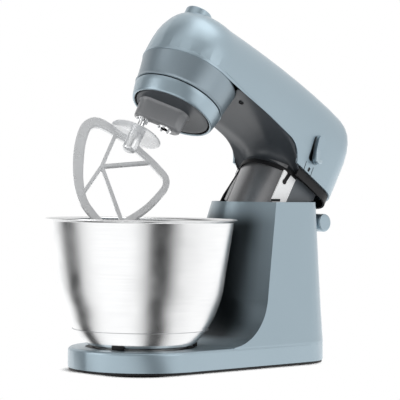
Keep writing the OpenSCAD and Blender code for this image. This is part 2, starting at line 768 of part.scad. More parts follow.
// Outline of one gear: both flanks of each tooth, with the play taken off its thickness.
module gear_outline(teeth, addendum, dedendum, play) {
    pitch_r = gear_module * teeth / 2;
    base_r = pitch_r * cos(pressure_angle);
    root_r = pitch_r - dedendum;
    tip_r = pitch_r + addendum;
    start_r = max(base_r, root_r);
    pitch_point = involute(base_r, unwind(base_r, pitch_r));
    flank_turn = atan2(pitch_point[1], pitch_point[0]);
    half_tooth = 90 / teeth - play / pitch_r * 90 / PI;
    flank = [for (i = [0:4]) involute(base_r, unwind(base_r, start_r + (tip_r - start_r) * i / 4))];
    polygon([for (t = [0:teeth - 1]) each concat(
        [for (i = [0:4]) turned(flank[i], t * 360 / teeth - half_tooth - flank_turn)],
        [for (i = [4:-1:0]) turned([flank[i][0], -flank[i][1]], t * 360 / teeth + half_tooth + flank_turn)],
        [turned([root_r, 0], t * 360 / teeth + half_tooth + 0.4 * (180 / teeth - half_tooth)),
            turned([root_r, 0], (t + 1) * 360 / teeth - half_tooth - 0.4 * (180 / teeth - half_tooth))])]);
}

gear_play = 0.2;
gear_z = ring_z + 9;
plate_z = gear_z + gear_h + 2;
plate_h = 6;
socket_body_r = 9.2;
spindle_r = 6;
carrier_shaft_r = 8;
shaft_top = seam_z + 23;
pulley_z = seam_z + 6;
pulley_h = 14;
large_pulley_r = 40;
motor_pulley_r = 7.8;
motor_y = 186;
bearing_r = 14;
bearing_h = 8;

module ring_gear() {
    color([0.7, 0.7, 0.68]) raise() translate([0, 0, gear_z]) rotate(arm_angle) linear_extrude(gear_h)
        difference() {
            circle(r = ring_inner_r);
            gear_outline(ring_teeth, 1.25 * gear_module, 0.8 * gear_module, -gear_play);
        }
}

module small_gear(phase) {
    linear_extrude(gear_h) difference() {
        rotate(arm_angle + phase) gear_outline(small_teeth, gear_module, 1.2 * gear_module, gear_play);
        circle(r = spindle_r);
    }
}

module planet_gear() {
    color([0.72, 0.6, 0.35]) raise() translate([arm_x, arm_y, gear_z]) small_gear(0);
}

module sun_gear() {
    color([0.72, 0.6, 0.35]) raise() translate([0, 0, gear_z]) small_gear(180 / small_teeth);
}

post_angles = [45, 145, -55];
post_r = 5;
module planet_carrier() {
    color([0.66, 0.67, 0.69]) raise() {
        difference() {
            union() {
                translate([0, 0, plate_z]) cylinder(r = 46, h = plate_h);
                translate([0, 0, plate_z + plate_h])
                    cylinder(r = carrier_shaft_r, h = shaft_top - plate_z - plate_h);
                for (a = post_angles) rotate(a) translate([arm_r + 2, 0, ring_z + 3 + cover_t])
                    cylinder(r = post_r, h = plate_z - ring_z - 2 - cover_t);
            }
            translate([arm_x, arm_y, plate_z - 1]) cylinder(r = spindle_r + run_gap, h = plate_h + 2);
            translate([0, 0, plate_z - 1]) cylinder(r = 3 + run_gap, h = 5);
        }
    }
}

// Dark disc in the hub ring with the block that holds the two tool sockets.
cover_t = 3;
block_r = 13;
module carrier_cover() {
    color([0.2, 0.21, 0.22]) raise() difference() {
        union() {
            translate([0, 0, ring_z + 1]) cylinder(r = ring_inner_r - 1.3, h = cover_t + 2);
            translate([0, 0, socket_z]) linear_extrude(socket_drop + 2) block_plan();
        }
        for (p = [[arm_x, arm_y], [0, 0]]) translate([p[0], p[1], socket_z - 1])
            cylinder(r = socket_body_r + run_gap, h = 40);
    }
}

module block_plan() {
    rotate(arm_angle) {
        translate([arm_r, 0]) circle(r = block_r);
        translate([-7, 0]) circle(r = block_r);
        translate([-7, -block_r]) square([arm_r + 7, 2 * block_r]);
    }
}

module socket(bottom, top) {
    difference() {
        union() {
            translate([0, 0, bottom]) cylinder(r = socket_body_r, h = gear_z - bottom);
            translate([0, 0, gear_z]) cylinder(r = spindle_r, h = top - gear_z);
        }
        translate([0, 0, bottom - 1]) cylinder(r = shank_r + shank_gap, h = socket_depth + 1);
        detent_balls(0.02);
    }
}

module outer_socket() {
    color([0.78, 0.79, 0.8]) raise() translate([arm_x, arm_y, 0])
        socket(mouth_z, plate_z + plate_h - 0.4);
}

module centre_socket() {
    color([0.78, 0.79, 0.8]) raise() difference() {
        union() {
            socket(mouth_z, gear_z + gear_h + 0.8);
            translate([0, 0, gear_z + gear_h]) cylinder(r = 3, h = 5);
        }
    }
}

// Detent balls round the mouth of each socket.
ball_r = 1.7;
mouth_z = socket_z - 1.4;
module detent_balls(grow) {
    for (a = [0:72:288]) rotate(a + 20) translate([shank_r + 2.4, 0, mouth_z - 0.2])
        sphere(r = ball_r + grow, $fn = 32);
}

module socket_balls() {
    color([0.85, 0.86, 0.87]) raise() detent_balls(0);
}

module outer_balls() {
    color([0.85, 0.86, 0.87]) raise() translate([arm_x, arm_y, 0]) detent_balls(0);
}

module carrier_bearings() {
    color([0.7, 0.71, 0.73]) raise() for (z = [plate_z + plate_h + 4, seam_z - 10])
        translate([0, 0, z]) ring_of(bearing_r, carrier_shaft_r + run_gap, bearing_h);
}

frame_z = seam_z - seam_gap;
frame_t = 4;
module gearbox_frame() {
    color([0.68, 0.69, 0.7]) raise() difference() {
        union() {
            translate([0, 0, frame_z]) linear_extrude(frame_t) {
                circle(r = 27);
                translate([-27, 0]) square([54, motor_y - 20]);
                translate([-leg_x - leg_t, -button_y - leg_w / 2]) square([2 * (leg_x + leg_t), leg_w]);
                translate([0, motor_y]) circle(r = 34);
            }
            translate([0, 0, plate_z + plate_h + 2])
                cylinder(r = bearing_r + 4, h = frame_z - plate_z - plate_h - 1);
            for (a = [45:90:315]) translate([0, motor_y, frame_z]) rotate(a) translate([30, 0, 0])
                cylinder(r = 3, h = stator_z - frame_z);
        }
        translate([0, 0, plate_z]) cylinder(r = bearing_r, h = 100);
        translate([0, motor_y, frame_z - 1]) cylinder(r = 12, h = 10);
    }
}

module large_pulley() {
    color([0.16, 0.16, 0.17]) raise() translate([0, 0, pulley_z]) difference() {
        union() {
            cylinder(r = large_pulley_r - 1, h = pulley_h);
            cylinder(r = large_pulley_r + 2, h = 1);
            translate([0, 0, pulley_h - 1]) cylinder(r = large_pulley_r + 2, h = 1);
        }
        translate([0, 0, -1]) cylinder(r = carrier_shaft_r, h = pulley_h + 2);
        for (a = [0:60:300]) rotate(a) translate([24, 0, -1]) cylinder(r = 7, h = pulley_h + 2);
    }
}

module motor_pulley() {
    color([0.75, 0.75, 0.76]) raise() translate([0, motor_y, pulley_z]) difference() {
        union() {
            cylinder(r = motor_pulley_r - 1, h = pulley_h);
            cylinder(r = motor_pulley_r + 2, h = 1);
            translate([0, 0, pulley_h - 1]) cylinder(r = motor_pulley_r + 2, h = 1);
        }
        translate([0, 0, -1]) cylinder(r = 4, h = pulley_h + 2);
    }
}

// Both runs of a belt, along the outer tangents of its two pulleys.
module belt_plan(grow) {
    big = large_pulley_r - 1 + grow;
    small = motor_pulley_r - 1 + grow;
    lean = asin((big - small) / motor_y);
    circle(r = big);
    translate([0, motor_y]) circle(r = small);
    polygon([for (side = [1, -1]) each [for (end = side > 0 ? [0, 1] : [1, 0])
        let (r = end == 0 ? big : small)
        [side * r * cos(lean), end * motor_y + r * sin(lean)]]]);
}

module drive_belt() {
    color([0.08, 0.08, 0.08]) raise() translate([0, 0, pulley_z + 2]) linear_extrude(pulley_h - 4)
        difference() {
            belt_plan(2.2);
            belt_plan(0.3);
        }
}

stator_z = frame_z + 31;
motor_frame_t = 5;
motor_frame_x = 34;
stator_h = 30;
module motor_stator() {
    color([0.35, 0.36, 0.38]) raise() translate([0, motor_y, stator_z]) difference() {
        union() {
            linear_extrude(stator_h) intersection() {
                circle(r = 42);
                square([72, 84], center = true);
            }
            for (side = [-1, 1]) translate([0, side * 30, -3]) cylinder(r = 9, h = stator_h + 6);
        }
        translate([0, 0, -5]) cylinder(r = 22, h = stator_h + 10);
    }
}

module motor_rotor() {
    color([0.6, 0.45, 0.3]) raise() translate([0, motor_y, 0]) {
        translate([0, 0, pulley_z - 1]) cylinder(r = 4, h = stator_z + stator_h + 12 - pulley_z);
        translate([0, 0, stator_z - 1]) cylinder(r = 21.3, h = stator_h + 2);
        translate([0, 0, stator_z + stator_h + 1]) cylinder(r = 12, h = 6);
    }
}

bearing_places = [stator_z - motor_frame_t - 2, stator_z + stator_h + 8.6];
module motor_bearings() {
    color([0.72, 0.73, 0.75]) raise() translate([0, motor_y, 0])
        for (z = bearing_places) translate([0, 0, z]) ring_of(9, 4 + run_gap, motor_frame_t);
}

// Bridge over each end of the motor that holds its bearing, on two pads.
module motor_frames() {
    color([0.66, 0.67, 0.69]) raise() translate([0, motor_y, 0]) for (z = bearing_places) difference() {
        union() {
            translate([-motor_frame_x, -12, z]) cube([2 * motor_frame_x, 24, motor_frame_t]);
            for (x = [-motor_frame_x, 24]) translate([x, -12, z < stator_z ? z : stator_z + stator_h])
                cube([motor_frame_x - 24, 24, z < stator_z ? stator_z - z : z - stator_z - stator_h]);
        }
        translate([0, 0, z - 1]) cylinder(r = 9, h = motor_frame_t + 2);
    }
}

// ---- Controls ----

function side_x(y) = nose_r + (back_half_w - nose_r) * y / (head_rear - head_corner_r);
surface_x = side_x(lever_y);
pocket_t = 4;
lever_lean = 14;
lever_pin_r = 4;
lever_lift = 1.2;
lever_t = 4.2;
module pocket_plan(grow) {
    bar_between([lever_y - 1, lever_z - lever_len - 1], [lever_y - 4, lever_z - 2], 10 + 2 * grow);
    translate([lever_y - 4, lever_z - 2]) circle(r = 5 + grow);
}

module lever_hole() {
    translate([0, lever_y, lever_z]) along_x(0, surface_x + 10, lever_pin_r + run_gap);
}

module lever_slot() {
    side_profile(surface_x - 12, surface_x + 10) pocket_plan(0);
    lever_hole();
}

module lever_bezel() {
    color([0.2, 0.21, 0.22]) raise() difference() {
        side_profile(surface_x - wall - 2, surface_x - 0.3) pocket_plan(-seam_gap);
        side_profile(surface_x - pocket_t + 0.6, surface_x + 1) pocket_plan(-1.6);
        lever_hole();
    }
}

module speed_lever() {
    color([0.62, 0.73, 0.79]) raise() {
        side_profile(surface_x + lever_lift, surface_x + lever_lift + lever_t)
            translate([lever_y, lever_z]) rotate(lever_lean) {
                circle(r = lever_r);
                translate([0, -lever_len]) circle(r = lever_r);
                translate([-lever_r, -lever_len]) square([2 * lever_r, lever_len]);
            }
        translate([0, lever_y, lever_z]) along_x(surface_x - 14, surface_x + lever_lift + 1, lever_pin_r);
    }
}

module speed_switch() {
    color([0.85, 0.84, 0.8]) raise() difference() {
        translate([surface_x - 16, lever_y - 11, lever_z - 9]) cube([7, 22, 24]);
        lever_hole();
    }
}

module control_board() {
    color([0.1, 0.35, 0.2]) raise() {
        translate([-28, 66, seam_z + 26]) cube([56, 62, 1.6]);
        translate([-20, 74, seam_z + 27.6]) cube([16, 22, 12]);
        translate([6, 78, seam_z + 27.6]) cube([14, 30, 18]);
        for (side = [-1, 1]) translate([side * 24, 72, frame_z + frame_t])
            cylinder(r = 2.5, h = seam_z + 26 - frame_z - frame_t);
    }
}

button_top = top_front + 2.5;
button_skirt = 14;
module release_button() {
    color([0.6, 0.71, 0.77]) raise() translate([0, -button_y, button_top - button_skirt]) rotate_extrude()
        polygon([[0, 0], [button_r, 0], [button_r, button_skirt - 1.6], [button_r - 0.6, button_skirt - 0.5],
            [button_r - 2, button_skirt], [0, button_skirt + 0.6]]);
}

shelf_z = top_front - 32;
leg_x = 38;
leg_t = 3;
leg_w = 10;
module button_rod() {
    color([0.7, 0.7, 0.72]) raise() translate([0, -button_y, shelf_z - 6])
        cylinder(r = 3, h = button_top - button_skirt - shelf_z + 6);
}

module button_spring() {
    color([0.72, 0.72, 0.74]) raise() translate([0, -button_y, shelf_z + 3.05])
        coil(5.5, 0.6, 5, button_top - button_skirt - button_travel - shelf_z - 4);
}

module button_bracket() {
    color([0.66, 0.67, 0.69]) raise() difference() {
        union() {
            translate([-leg_x - leg_t, -button_y - leg_w / 2, shelf_z]) cube([2 * (leg_x + leg_t), leg_w, 2.4]);
            for (x = [-leg_x - leg_t, leg_x]) translate([x, -button_y - leg_w / 2, frame_z + frame_t])
                cube([leg_t, leg_w, shelf_z - frame_z - frame_t + 1]);
        }
        translate([0, -button_y, shelf_z - 1]) cylinder(r = 3 + run_gap, h = 5);
    }
}

// Toothed strip on the back of the neck for the pawl to drop into.
catch_t = 2.8;
catch_angles = [-8, 42];
module latch_catch() {
    color([0.55, 0.56, 0.58]) raise() side_profile(-7, 7) translate([hinge_y, hinge_z]) difference() {
        circle(r = reach + catch_t);
        intersection() {
            circle(r = reach);
            translate([-100, -100]) square([100 + reach - 4, 200]);
        }
        polygon([[0, 0], [100 * cos(catch_angles[1]), 100 * sin(catch_angles[1])], [-100, 100],
            [-100, -100], [100, -100], [100 * cos(catch_angles[0]), 100 * sin(catch_angles[0])]]);
        for (a = [0, 31.6]) rotate(a) translate([reach + 2, -2]) square([4, 4]);
    }
}

// ---- Bowl and beater ----

bowl_cos = cos(atan(bowl_slope));
bowl_sin = sin(atan(bowl_slope));
bowl_turn_r = bowl_wall_r - bowl_slope * (bowl_rim_z - 4 - bowl_turn_z);
bowl_mid = [bowl_turn_r - bowl_round_r * bowl_cos, bowl_turn_z + bowl_round_r * bowl_sin];
low_angle = asin((bowl_mid[1] - bowl_floor_z - 3) / bowl_round_r);

function bowl_line(inset) = let (r = bowl_round_r - inset)
    [for (i = [0:14]) let (a = -low_angle + (low_angle - atan(bowl_slope)) * i / 14)
        [bowl_mid[0] + r * cos(a), bowl_mid[1] + r * sin(a)]];

bowl_turn = 25;
foot_wall = 1.6;
// Height of the underside of the bowl where its foot meets it.
foot_meet_z = bowl_floor_z + 3 * (foot_wall + 0.4) / (bowl_line(0)[0][0] - bowl_foot_r + foot_wall + 0.4);
module bowl() {
    outer = bowl_line(0);
    inner = bowl_line(steel_t);
    color([0.82, 0.83, 0.84]) place() difference() {
        rotate_extrude() polygon(concat([[0, bowl_floor_z], [bowl_foot_r - foot_wall, bowl_floor_z],
            [bowl_foot_r - foot_wall, base_top - bowl_foot_depth], [bowl_foot_r, base_top - bowl_foot_depth],
            [bowl_foot_r, foot_meet_z]], outer,
            [[bowl_wall_r, bowl_rim_z - 4], [bowl_rim_r - 0.6, bowl_rim_z - 2.2], [bowl_rim_r, bowl_rim_z - 1.2],
            [bowl_rim_r - 0.6, bowl_rim_z], [bowl_wall_r - steel_t, bowl_rim_z - 3.4]],
            [for (i = [14:-1:0]) inner[i]], [[bowl_foot_r - 4, bowl_floor_z + steel_t],
            [0, bowl_floor_z + steel_t]]));
        for (i = [0:lug_count - 1]) rotate(i * 360 / lug_count + 90) {
            foot_cut(base_top - 4, -lug_angle / 2 - 1, bowl_turn + lug_angle + 2);
            foot_cut(base_top - bowl_foot_depth - 1, bowl_turn - lug_angle / 2 - 1, lug_angle + 2);
        }
    }
}

// One cut in the bowl's foot, from the height low up to just under the floor.
module foot_cut(low, from, sweep) {
    far = bowl_foot_r + 12;
    translate([0, 0, low]) linear_extrude(base_top - 0.3 - low)
        polygon(concat([[0, 0]], [for (i = [0:4]) let (a = from + sweep * i / 4) [far * cos(a), far * sin(a)]]));
}

// Centre line of the beater: distance to the side of its shank, and share of the way down
// from its top to its bottom.
beater_line = [[-2, 0.05], [-18, 0.03], [-36, 0], [-51, 0.01], [-59, 0.1], [-57.5, 0.27], [-51, 0.45],
    [-40, 0.66], [-25, 0.84], [-8, 0.94], [10, 1], [27, 0.95], [40, 0.81], [51, 0.64], [58, 0.46], [60, 0.35],
    [55, 0.26], [42, 0.2], [28, 0.15], [11, 0.1]];
beater_w = 6.5;
beater_turn = 47.8;
beater_top_drop = 48.7;
disc_drop = 43.2;
boss_low = 68;
beater_drop = ring_z - beater_low_z - beater_w / 2 - beater_top_drop;
function beater_point(p) = [p[0], -beater_top_drop - p[1] * beater_drop];
function spline(a, b, c, d, t) = 0.5 * (2 * b + (c - a) * t + (2 * a - 5 * b + 4 * c - d) * t * t
    + (3 * b - a - 3 * c + d) * t * t * t);
beater_count = len(beater_line);
beater_path = [for (i = [0:beater_count - 1]) for (t = [0:0.34:0.9])
    let (q = [for (k = [-1:2]) beater_point(beater_line[(i + k + beater_count) % beater_count])])
    spline(q[0], q[1], q[2], q[3], t)];

function normal_at(path, i) = let (n = len(path), d = path[(i + 1) % n] - path[(i + n - 1) % n])
    [d[1], -d[0]] / norm(d);

// The frame is wider on the side that scrapes the wall than on the other. Its inner side
// leans, so the middle layer reaches further in than the outer ones.
beater_lean = 2.5;
function half_width(p) = (beater_w + 4 * pow(clamp(-p[0] / 50, 0, 1), 2) - clamp(p[0] / 40, 0, 1)) / 2;
function beater_edge(grow, side) = [for (i = [0:len(beater_path) - 1]) let (p = beater_path[i])
    p + side * (half_width(p) + grow) * normal_at(beater_path, i)];

module beater_plan(grow, inner) {
    difference() {
        polygon(beater_edge(grow, 1));
        polygon(beater_edge(inner, -1));
    }
    middle = beater_point([-20.4, 0.43]);
    for (end = [[-22, 0.02], [-27, 0.82], [32, 0.17], [31, 0.9]])
        bar_between(middle, beater_point(end), beater_w - 2 + 2 * grow);
}

module bar_between(a, b, w) {
    d = b - a;
    translate(a) rotate(atan2(d[1], d[0])) {
        translate([0, -w / 2]) square([norm(d), w]);
        circle(r = w / 2);
    }
}

module at_outer_socket() {
    raise() translate([arm_x, arm_y, ring_z]) children();
}

boss_r = 9;
module beater_frame() {
    color([0.78, 0.79, 0.8]) at_outer_socket() difference() {
        union() {
            rotate([90, 0, beater_turn]) {
                translate([0, 0, -beater_t / 2 + 1]) linear_extrude(beater_t - 2) beater_plan(0, beater_lean);
                translate([0, 0, -beater_t / 2]) linear_extrude(beater_t) beater_plan(-1, 0);
            }
            translate([0, 0, -boss_low]) rotate_extrude() polygon([[0, 0], [boss_r - 4, 0], [boss_r - 1.4, 1.4],
                [boss_r, 4], [boss_r, boss_low - disc_drop - 0.4], [0, boss_low - disc_drop - 0.4]]);
        }
        translate([0, 0, -boss_low + 5]) cylinder(r = shank_r, h = boss_low);
    }
}

shank_top = socket_depth - 0.6 - socket_drop - 1.4;
module beater_shank() {
    color([0.8, 0.81, 0.82]) at_outer_socket() difference() {
        translate([0, 0, -boss_low + 5]) cylinder(r = shank_r, h = boss_low - 5 + shank_top);
        translate([0, 0, shank_top - 9]) difference() {
            cylinder(r = shank_r + 1, h = 1.6);
            cylinder(r = shank_r - 0.7, h = 1.6);
        }
    }
}

module splash_disc() {
    color([0.74, 0.75, 0.76]) at_outer_socket() translate([0, 0, -disc_drop]) rotate_extrude()
        polygon([[shank_r, -0.4], [boss_r + 2, -0.4], [disc_r - 1, -0.9], [disc_r, -0.5], [disc_r - 0.4, 0.2],
            [boss_r + 3, 1.8], [boss_r, 3.4], [shank_r, 3.4]]);
}

base_housing();
base_plate();
rubber_feet();
base_screws();
bowl_seat();
hinge_bracket();
hinge_pin();
lift_spring();
cord_bush();
release_bar();
head_latch();
latch_pin();
latch_brackets();
release_spring();
top_shell();
top_strip();
lower_shell();
shell_screws();
neck_front_shell();
neck_rear_shell();
neck_shield();
guide_plates();
guide_pin();
hinge_arms();
latch_catch();
hub_housing();
hub_ring();
release_button();
button_spring();
button_rod();
button_bracket();
lever_bezel();
speed_lever();
speed_switch();
control_board();
gearbox_frame();
motor_frames();
motor_stator();
motor_rotor();
motor_bearings();
motor_pulley();
drive_belt();
large_pulley();
carrier_bearings();
ring_gear();
planet_carrier();
carrier_cover();
planet_gear();
outer_socket();
outer_balls();
sun_gear();
centre_socket();
socket_balls();
beater_frame();
beater_shank();
splash_disc();
bowl();
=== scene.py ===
# %% [markdown]
# This lesson dresses a tilting-head stand mixer. The CAD model gives every solid piece in its
# real place, with the head raised. The script loads it as a fixed frame, gives each piece its
# own finish, and adds the pieces whose shape needs more than a solid modeller gives easily:
# the smooth shells round the hub and neck, the brushed bowl and the small trim.

# %% Load the frame
import json
import math

import bmesh
import bpy
from mathutils import Matrix, Vector


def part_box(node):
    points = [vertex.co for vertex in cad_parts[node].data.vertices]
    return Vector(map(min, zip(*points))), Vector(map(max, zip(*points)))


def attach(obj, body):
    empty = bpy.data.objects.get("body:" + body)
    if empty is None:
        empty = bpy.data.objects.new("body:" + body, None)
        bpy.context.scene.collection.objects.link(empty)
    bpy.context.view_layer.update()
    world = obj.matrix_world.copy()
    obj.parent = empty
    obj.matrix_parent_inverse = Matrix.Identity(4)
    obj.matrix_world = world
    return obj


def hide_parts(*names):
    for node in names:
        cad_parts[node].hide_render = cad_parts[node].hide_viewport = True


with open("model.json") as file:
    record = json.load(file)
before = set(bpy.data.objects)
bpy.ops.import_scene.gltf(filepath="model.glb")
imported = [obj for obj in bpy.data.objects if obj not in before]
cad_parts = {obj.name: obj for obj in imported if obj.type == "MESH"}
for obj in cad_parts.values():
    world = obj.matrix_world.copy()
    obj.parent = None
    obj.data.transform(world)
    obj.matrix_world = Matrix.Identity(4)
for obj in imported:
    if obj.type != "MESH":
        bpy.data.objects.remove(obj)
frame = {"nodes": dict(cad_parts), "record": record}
bpy.context.view_layer.update()
nodes = frame["nodes"]
UP = Vector((0, 0, 1))

# %% [markdown]
# The bowl stands on an upright axis, and everything in the view is measured from it. Its box
# gives that axis, so the camera needs no typed place for it.

# %% Find the bowl axis
bowl_low, bowl_high = (Vector(corner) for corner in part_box("bowl"))
bowl_axis = Vector(((bowl_low.x + bowl_high.x) / 2, (bowl_low.y + bowl_high.y) / 2, 0))
print("bowl axis at", tuple(round(v, 4) for v in bowl_axis))

# %% [markdown]
# A long lens from two metres away keeps the mixer's proportions calm. The camera stands a
# little above the bowl's rim, level, and looks from the front right. It is aimed at the bowl
# axis first and then turned a little to the right, so that the column fits in the frame, and
# a small downward shift does the rest without making the upright edges converge.

# %% Camera
camera_distance = 2.172
camera_height = 0.2194
camera_heading = math.radians(42.25)
camera_roll = math.radians(0.7)
camera_turn = math.radians(1.82)

camera_data = bpy.data.cameras.new("camera")
camera_data.lens = 163.8
camera_data.sensor_width = 36
camera_data.shift_y = -0.035
camera_data.clip_start = 0.05
camera = bpy.data.objects.new("camera", camera_data)
bpy.context.scene.collection.objects.link(camera)
ahead = Vector((-math.cos(camera_heading), math.sin(camera_heading), 0))
level = Matrix((ahead.cross(UP), UP, -ahead)).transposed().to_4x4()
place = bowl_axis - ahead * camera_distance + UP * camera_height
camera.matrix_world = (Matrix.Translation(place) @ level @ Matrix.Rotation(camera_roll, 4, "Z")
                       @ Matrix.Rotation(-camera_turn, 4, "Y"))
bpy.context.scene.camera = camera
print("camera at", tuple(round(v, 3) for v in place))

# %% [markdown]
# Painted metal and steel look the way their surroundings look, so the light matters as much
# as the paint. Three large soft lamps stand round the mixer. The right one lights the broad
# side, the left one the nose and the base, and the one overhead the shoulder of the head.

# %% Lamps
def soft_lamp(name, spot, width, height):
    """A large lamp that looks at the middle of the mixer."""
    data = bpy.data.lights.new(name, "AREA")
    data.shape = "RECTANGLE"
    data.size = width
    data.size_y = height
    data.energy = lamp_watts
    lamp = bpy.data.objects.new(name, data)
    bpy.context.scene.collection.objects.link(lamp)
    lamp.location = spot
    lamp.rotation_euler = (middle_of_mixer - lamp.location).to_track_quat("-Z", "Y").to_euler()


lamp_watts = 12
middle_of_mixer = Vector((0, 0, 0.22))
soft_lamp("left_softbox", (-0.9, -2.0, 0.9), 1.0, 1.6)
soft_lamp("right_softbox", (2.35, 0.2, 0.9), 1.4, 1.8)
soft_lamp("top_softbox", (0.5, 0.2, 2.2), 1.4, 1.4)

# %% [markdown]
# The studio, the table and every finish are networks of small nodes. One helper adds a node
# with its inputs and gives back the output that the next node needs, so each network reads
# like a formula.

# %% Node helpers
def plug(tree, node, inputs):
    """Set a node's inputs, to numbers or to links from other outputs."""
    for key, value in inputs.items():
        if isinstance(value, bpy.types.NodeSocket):
            tree.links.new(value, node.inputs[key])
        else:
            node.inputs[key].default_value = value


def add_node(tree, kind, inputs=None, output=0, **settings):
    """One output of a new node with these inputs and settings."""
    node = tree.nodes.new("ShaderNode" + kind)
    for name, value in settings.items():
        setattr(node, name, value)
    plug(tree, node, inputs or {})
    return node.outputs[output]


def fade(tree, value, begin, end, low, high):
    """The low value up to begin, the high one from end on, and a soft change between."""
    return add_node(tree, "MapRange", {"Value": value, "From Min": begin, "From Max": end,
                                       "To Min": low, "To Max": high},
                    interpolation_type="SMOOTHSTEP")


def product(tree, *factors):
    """All the factors multiplied together."""
    result = factors[0]
    for factor in factors[1:]:
        result = add_node(tree, "Math", {0: result, 1: factor}, operation="MULTIPLY")
    return result


def split(tree, vector):
    """The three parts of a vector."""
    part = add_node(tree, "SeparateXYZ", {0: vector}).node
    return part.outputs["X"], part.outputs["Y"], part.outputs["Z"]


print("helpers ready")

# %% [markdown]
# Steel and satin paint show their surroundings, so the studio has a shape of its own. Seen from
# the mixer it is bright with two dark upright flags, which draw the bands in the bowl. A low
# grey screen hangs in front at the left, above the level of the bowl's reflections, and the
# leaning front of the column mirrors it. Only shiny surfaces see all this. Dull ones get an
# even dim light, and the camera sees plain white.

# %% Studio around the mixer
flag_stops = [(-180, 1.0), (-170, 0.9), (-155, 0.03), (-141, 0.02), (-124, 0.8), (-105, 1.0),
              (-55, 1.0), (-38, 0.7), (-26, 0.02), (-8, 0.0), (3, 0.5), (16, 0.85), (60, 0.97),
              (180, 1.0)]

world = bpy.data.worlds.new("studio")
bpy.context.scene.world = world
world.use_nodes = True
studio = world.node_tree
studio.nodes.clear()
east, north, height = split(studio, add_node(studio, "TexCoord", output="Generated"))
heading = add_node(studio, "Math", {0: north, 1: east}, operation="ARCTAN2")
round_share = add_node(studio, "MapRange", {"Value": heading, "From Min": -math.pi,
                                            "From Max": math.pi})
bands = add_node(studio, "ValToRGB", {"Fac": round_share})
ramp = bands.node.color_ramp
ramp.interpolation = "EASE"
while len(ramp.elements) < len(flag_stops):
    ramp.elements.new(0.5)
for element, (angle, level) in zip(ramp.elements, flag_stops):
    element.position = (angle + 180) / 360
    element.color = (level, level, level, 1)
screen = product(studio, fade(studio, height, 0.12, 0.26, 0, 1), fade(studio, height, 0.6, 0.74, 1, 0),
                 fade(studio, heading, -2.85, -2.6, 0, 1), fade(studio, heading, -0.8, -0.5, 1, 0))
banded = add_node(studio, "Background", {"Color": bands, "Strength": product(
    studio, fade(studio, screen, 0, 1, 1, 0.4), fade(studio, height, -0.12, 0.06, 1.45, 1.05))})
dim = add_node(studio, "Background", {"Color": (0.92, 0.96, 1.0, 1),
                                      "Strength": fade(studio, height, -0.15, 0.15, 0.75, 0.16)})
seen = add_node(studio, "Background", {"Color": (1, 1, 1, 1), "Strength": 1.0})
for_glossy = add_node(studio, "LightPath", output="Is Glossy Ray")
for_camera = for_glossy.node.outputs["Is Camera Ray"]
shiny = add_node(studio, "MixShader", {0: for_glossy, 1: dim, 2: banded})
either = add_node(studio, "MixShader", {0: for_camera, 1: shiny, 2: seen})
studio.links.new(either, studio.nodes.new("ShaderNodeOutputWorld").inputs["Surface"])
bpy.context.scene.view_settings.view_transform = "Standard"
print("studio bands:", len(flag_stops), "stops")

# %% [markdown]
# The mixer stands on a pale round sheet that fades out a few centimetres outside the base, so
# the contact shadow stays and no far edge shows. Its paper grain is only just there.

# %% Table
table_radius = 2.4
table_drop = 0.0004
sheet_shift = (0, 0.018, 0)
sheet_half = (0.03, 0.12, 0)
fade_from, fade_to = 0.038, 0.056

bpy.ops.object.select_all(action="DESELECT")
bpy.ops.mesh.primitive_circle_add(vertices=96, radius=table_radius, fill_type="NGON",
                                  location=(0, 0, -table_drop))
table = bpy.context.object
table.name = "table"
sheet = bpy.data.materials.new("paper_sweep")
sheet.use_nodes = True
tree = sheet.node_tree
tree.nodes.clear()
where = add_node(tree, "TexCoord", output="Object")
spot = add_node(tree, "VectorMath", {0: where, 1: sheet_shift})
spot = add_node(tree, "VectorMath", {0: spot}, operation="ABSOLUTE")
spot = add_node(tree, "VectorMath", {0: spot, 1: sheet_half}, operation="SUBTRACT")
spot = add_node(tree, "VectorMath", {0: spot, 1: (0, 0, 0)}, operation="MAXIMUM")
away = add_node(tree, "VectorMath", {0: spot}, "Value", operation="LENGTH")
grain = add_node(tree, "TexNoise", {"Vector": where, "Scale": 900})
rough = add_node(tree, "Bump", {"Height": grain, "Strength": 0.05})
paper = add_node(tree, "BsdfDiffuse", {"Color": (0.86, 0.86, 0.86, 1), "Normal": rough})
clear = add_node(tree, "BsdfTransparent")
blend = add_node(tree, "MixShader", {0: fade(tree, away, fade_from, fade_to, 0, 1), 1: paper, 2: clear})
tree.links.new(blend, tree.nodes.new("ShaderNodeOutputMaterial").inputs["Surface"])
table.data.materials.append(sheet)
print("table", round(table.dimensions.x, 2), "m across")

# %% [markdown]
# Every finish below is built from the same few bricks: a colour that drifts a little from
# place to place, a gloss that drifts with it, and a fine relief that catches the light. They
# read the piece's own coordinates in metres, so the grain keeps its true size on every piece.

# %% Bricks for the finishes
finishes = {}


def start_finish(name):
    """An empty finish: its node tree, its shader and the place on the piece."""
    material = bpy.data.materials.new(name)
    material.use_nodes = True
    tree = material.node_tree
    tree.nodes.clear()
    shader = add_node(tree, "BsdfPrincipled").node
    ending = tree.nodes.new("ShaderNodeOutputMaterial")
    tree.links.new(shader.outputs[0], ending.inputs["Surface"])
    finishes[name] = material
    return tree, shader, add_node(tree, "TexCoord", output="Object")


def noise(tree, place, scale, detail=3.0, stretch=None):
    if stretch:
        place = add_node(tree, "Mapping", {"Vector": place, "Scale": stretch})
    return add_node(tree, "TexNoise", {"Vector": place, "Scale": scale, "Detail": detail})


def tint(tree, factor, dark, light):
    return add_node(tree, "Mix", {0: factor, 6: (*dark, 1), 7: (*light, 1)}, 2, data_type="RGBA")


def spread(tree, factor, low, high):
    """Stretch the middle of a noise over a range."""
    return add_node(tree, "MapRange", {"Value": factor, "From Min": 0.3, "From Max": 0.7,
                                       "To Min": low, "To Max": high})


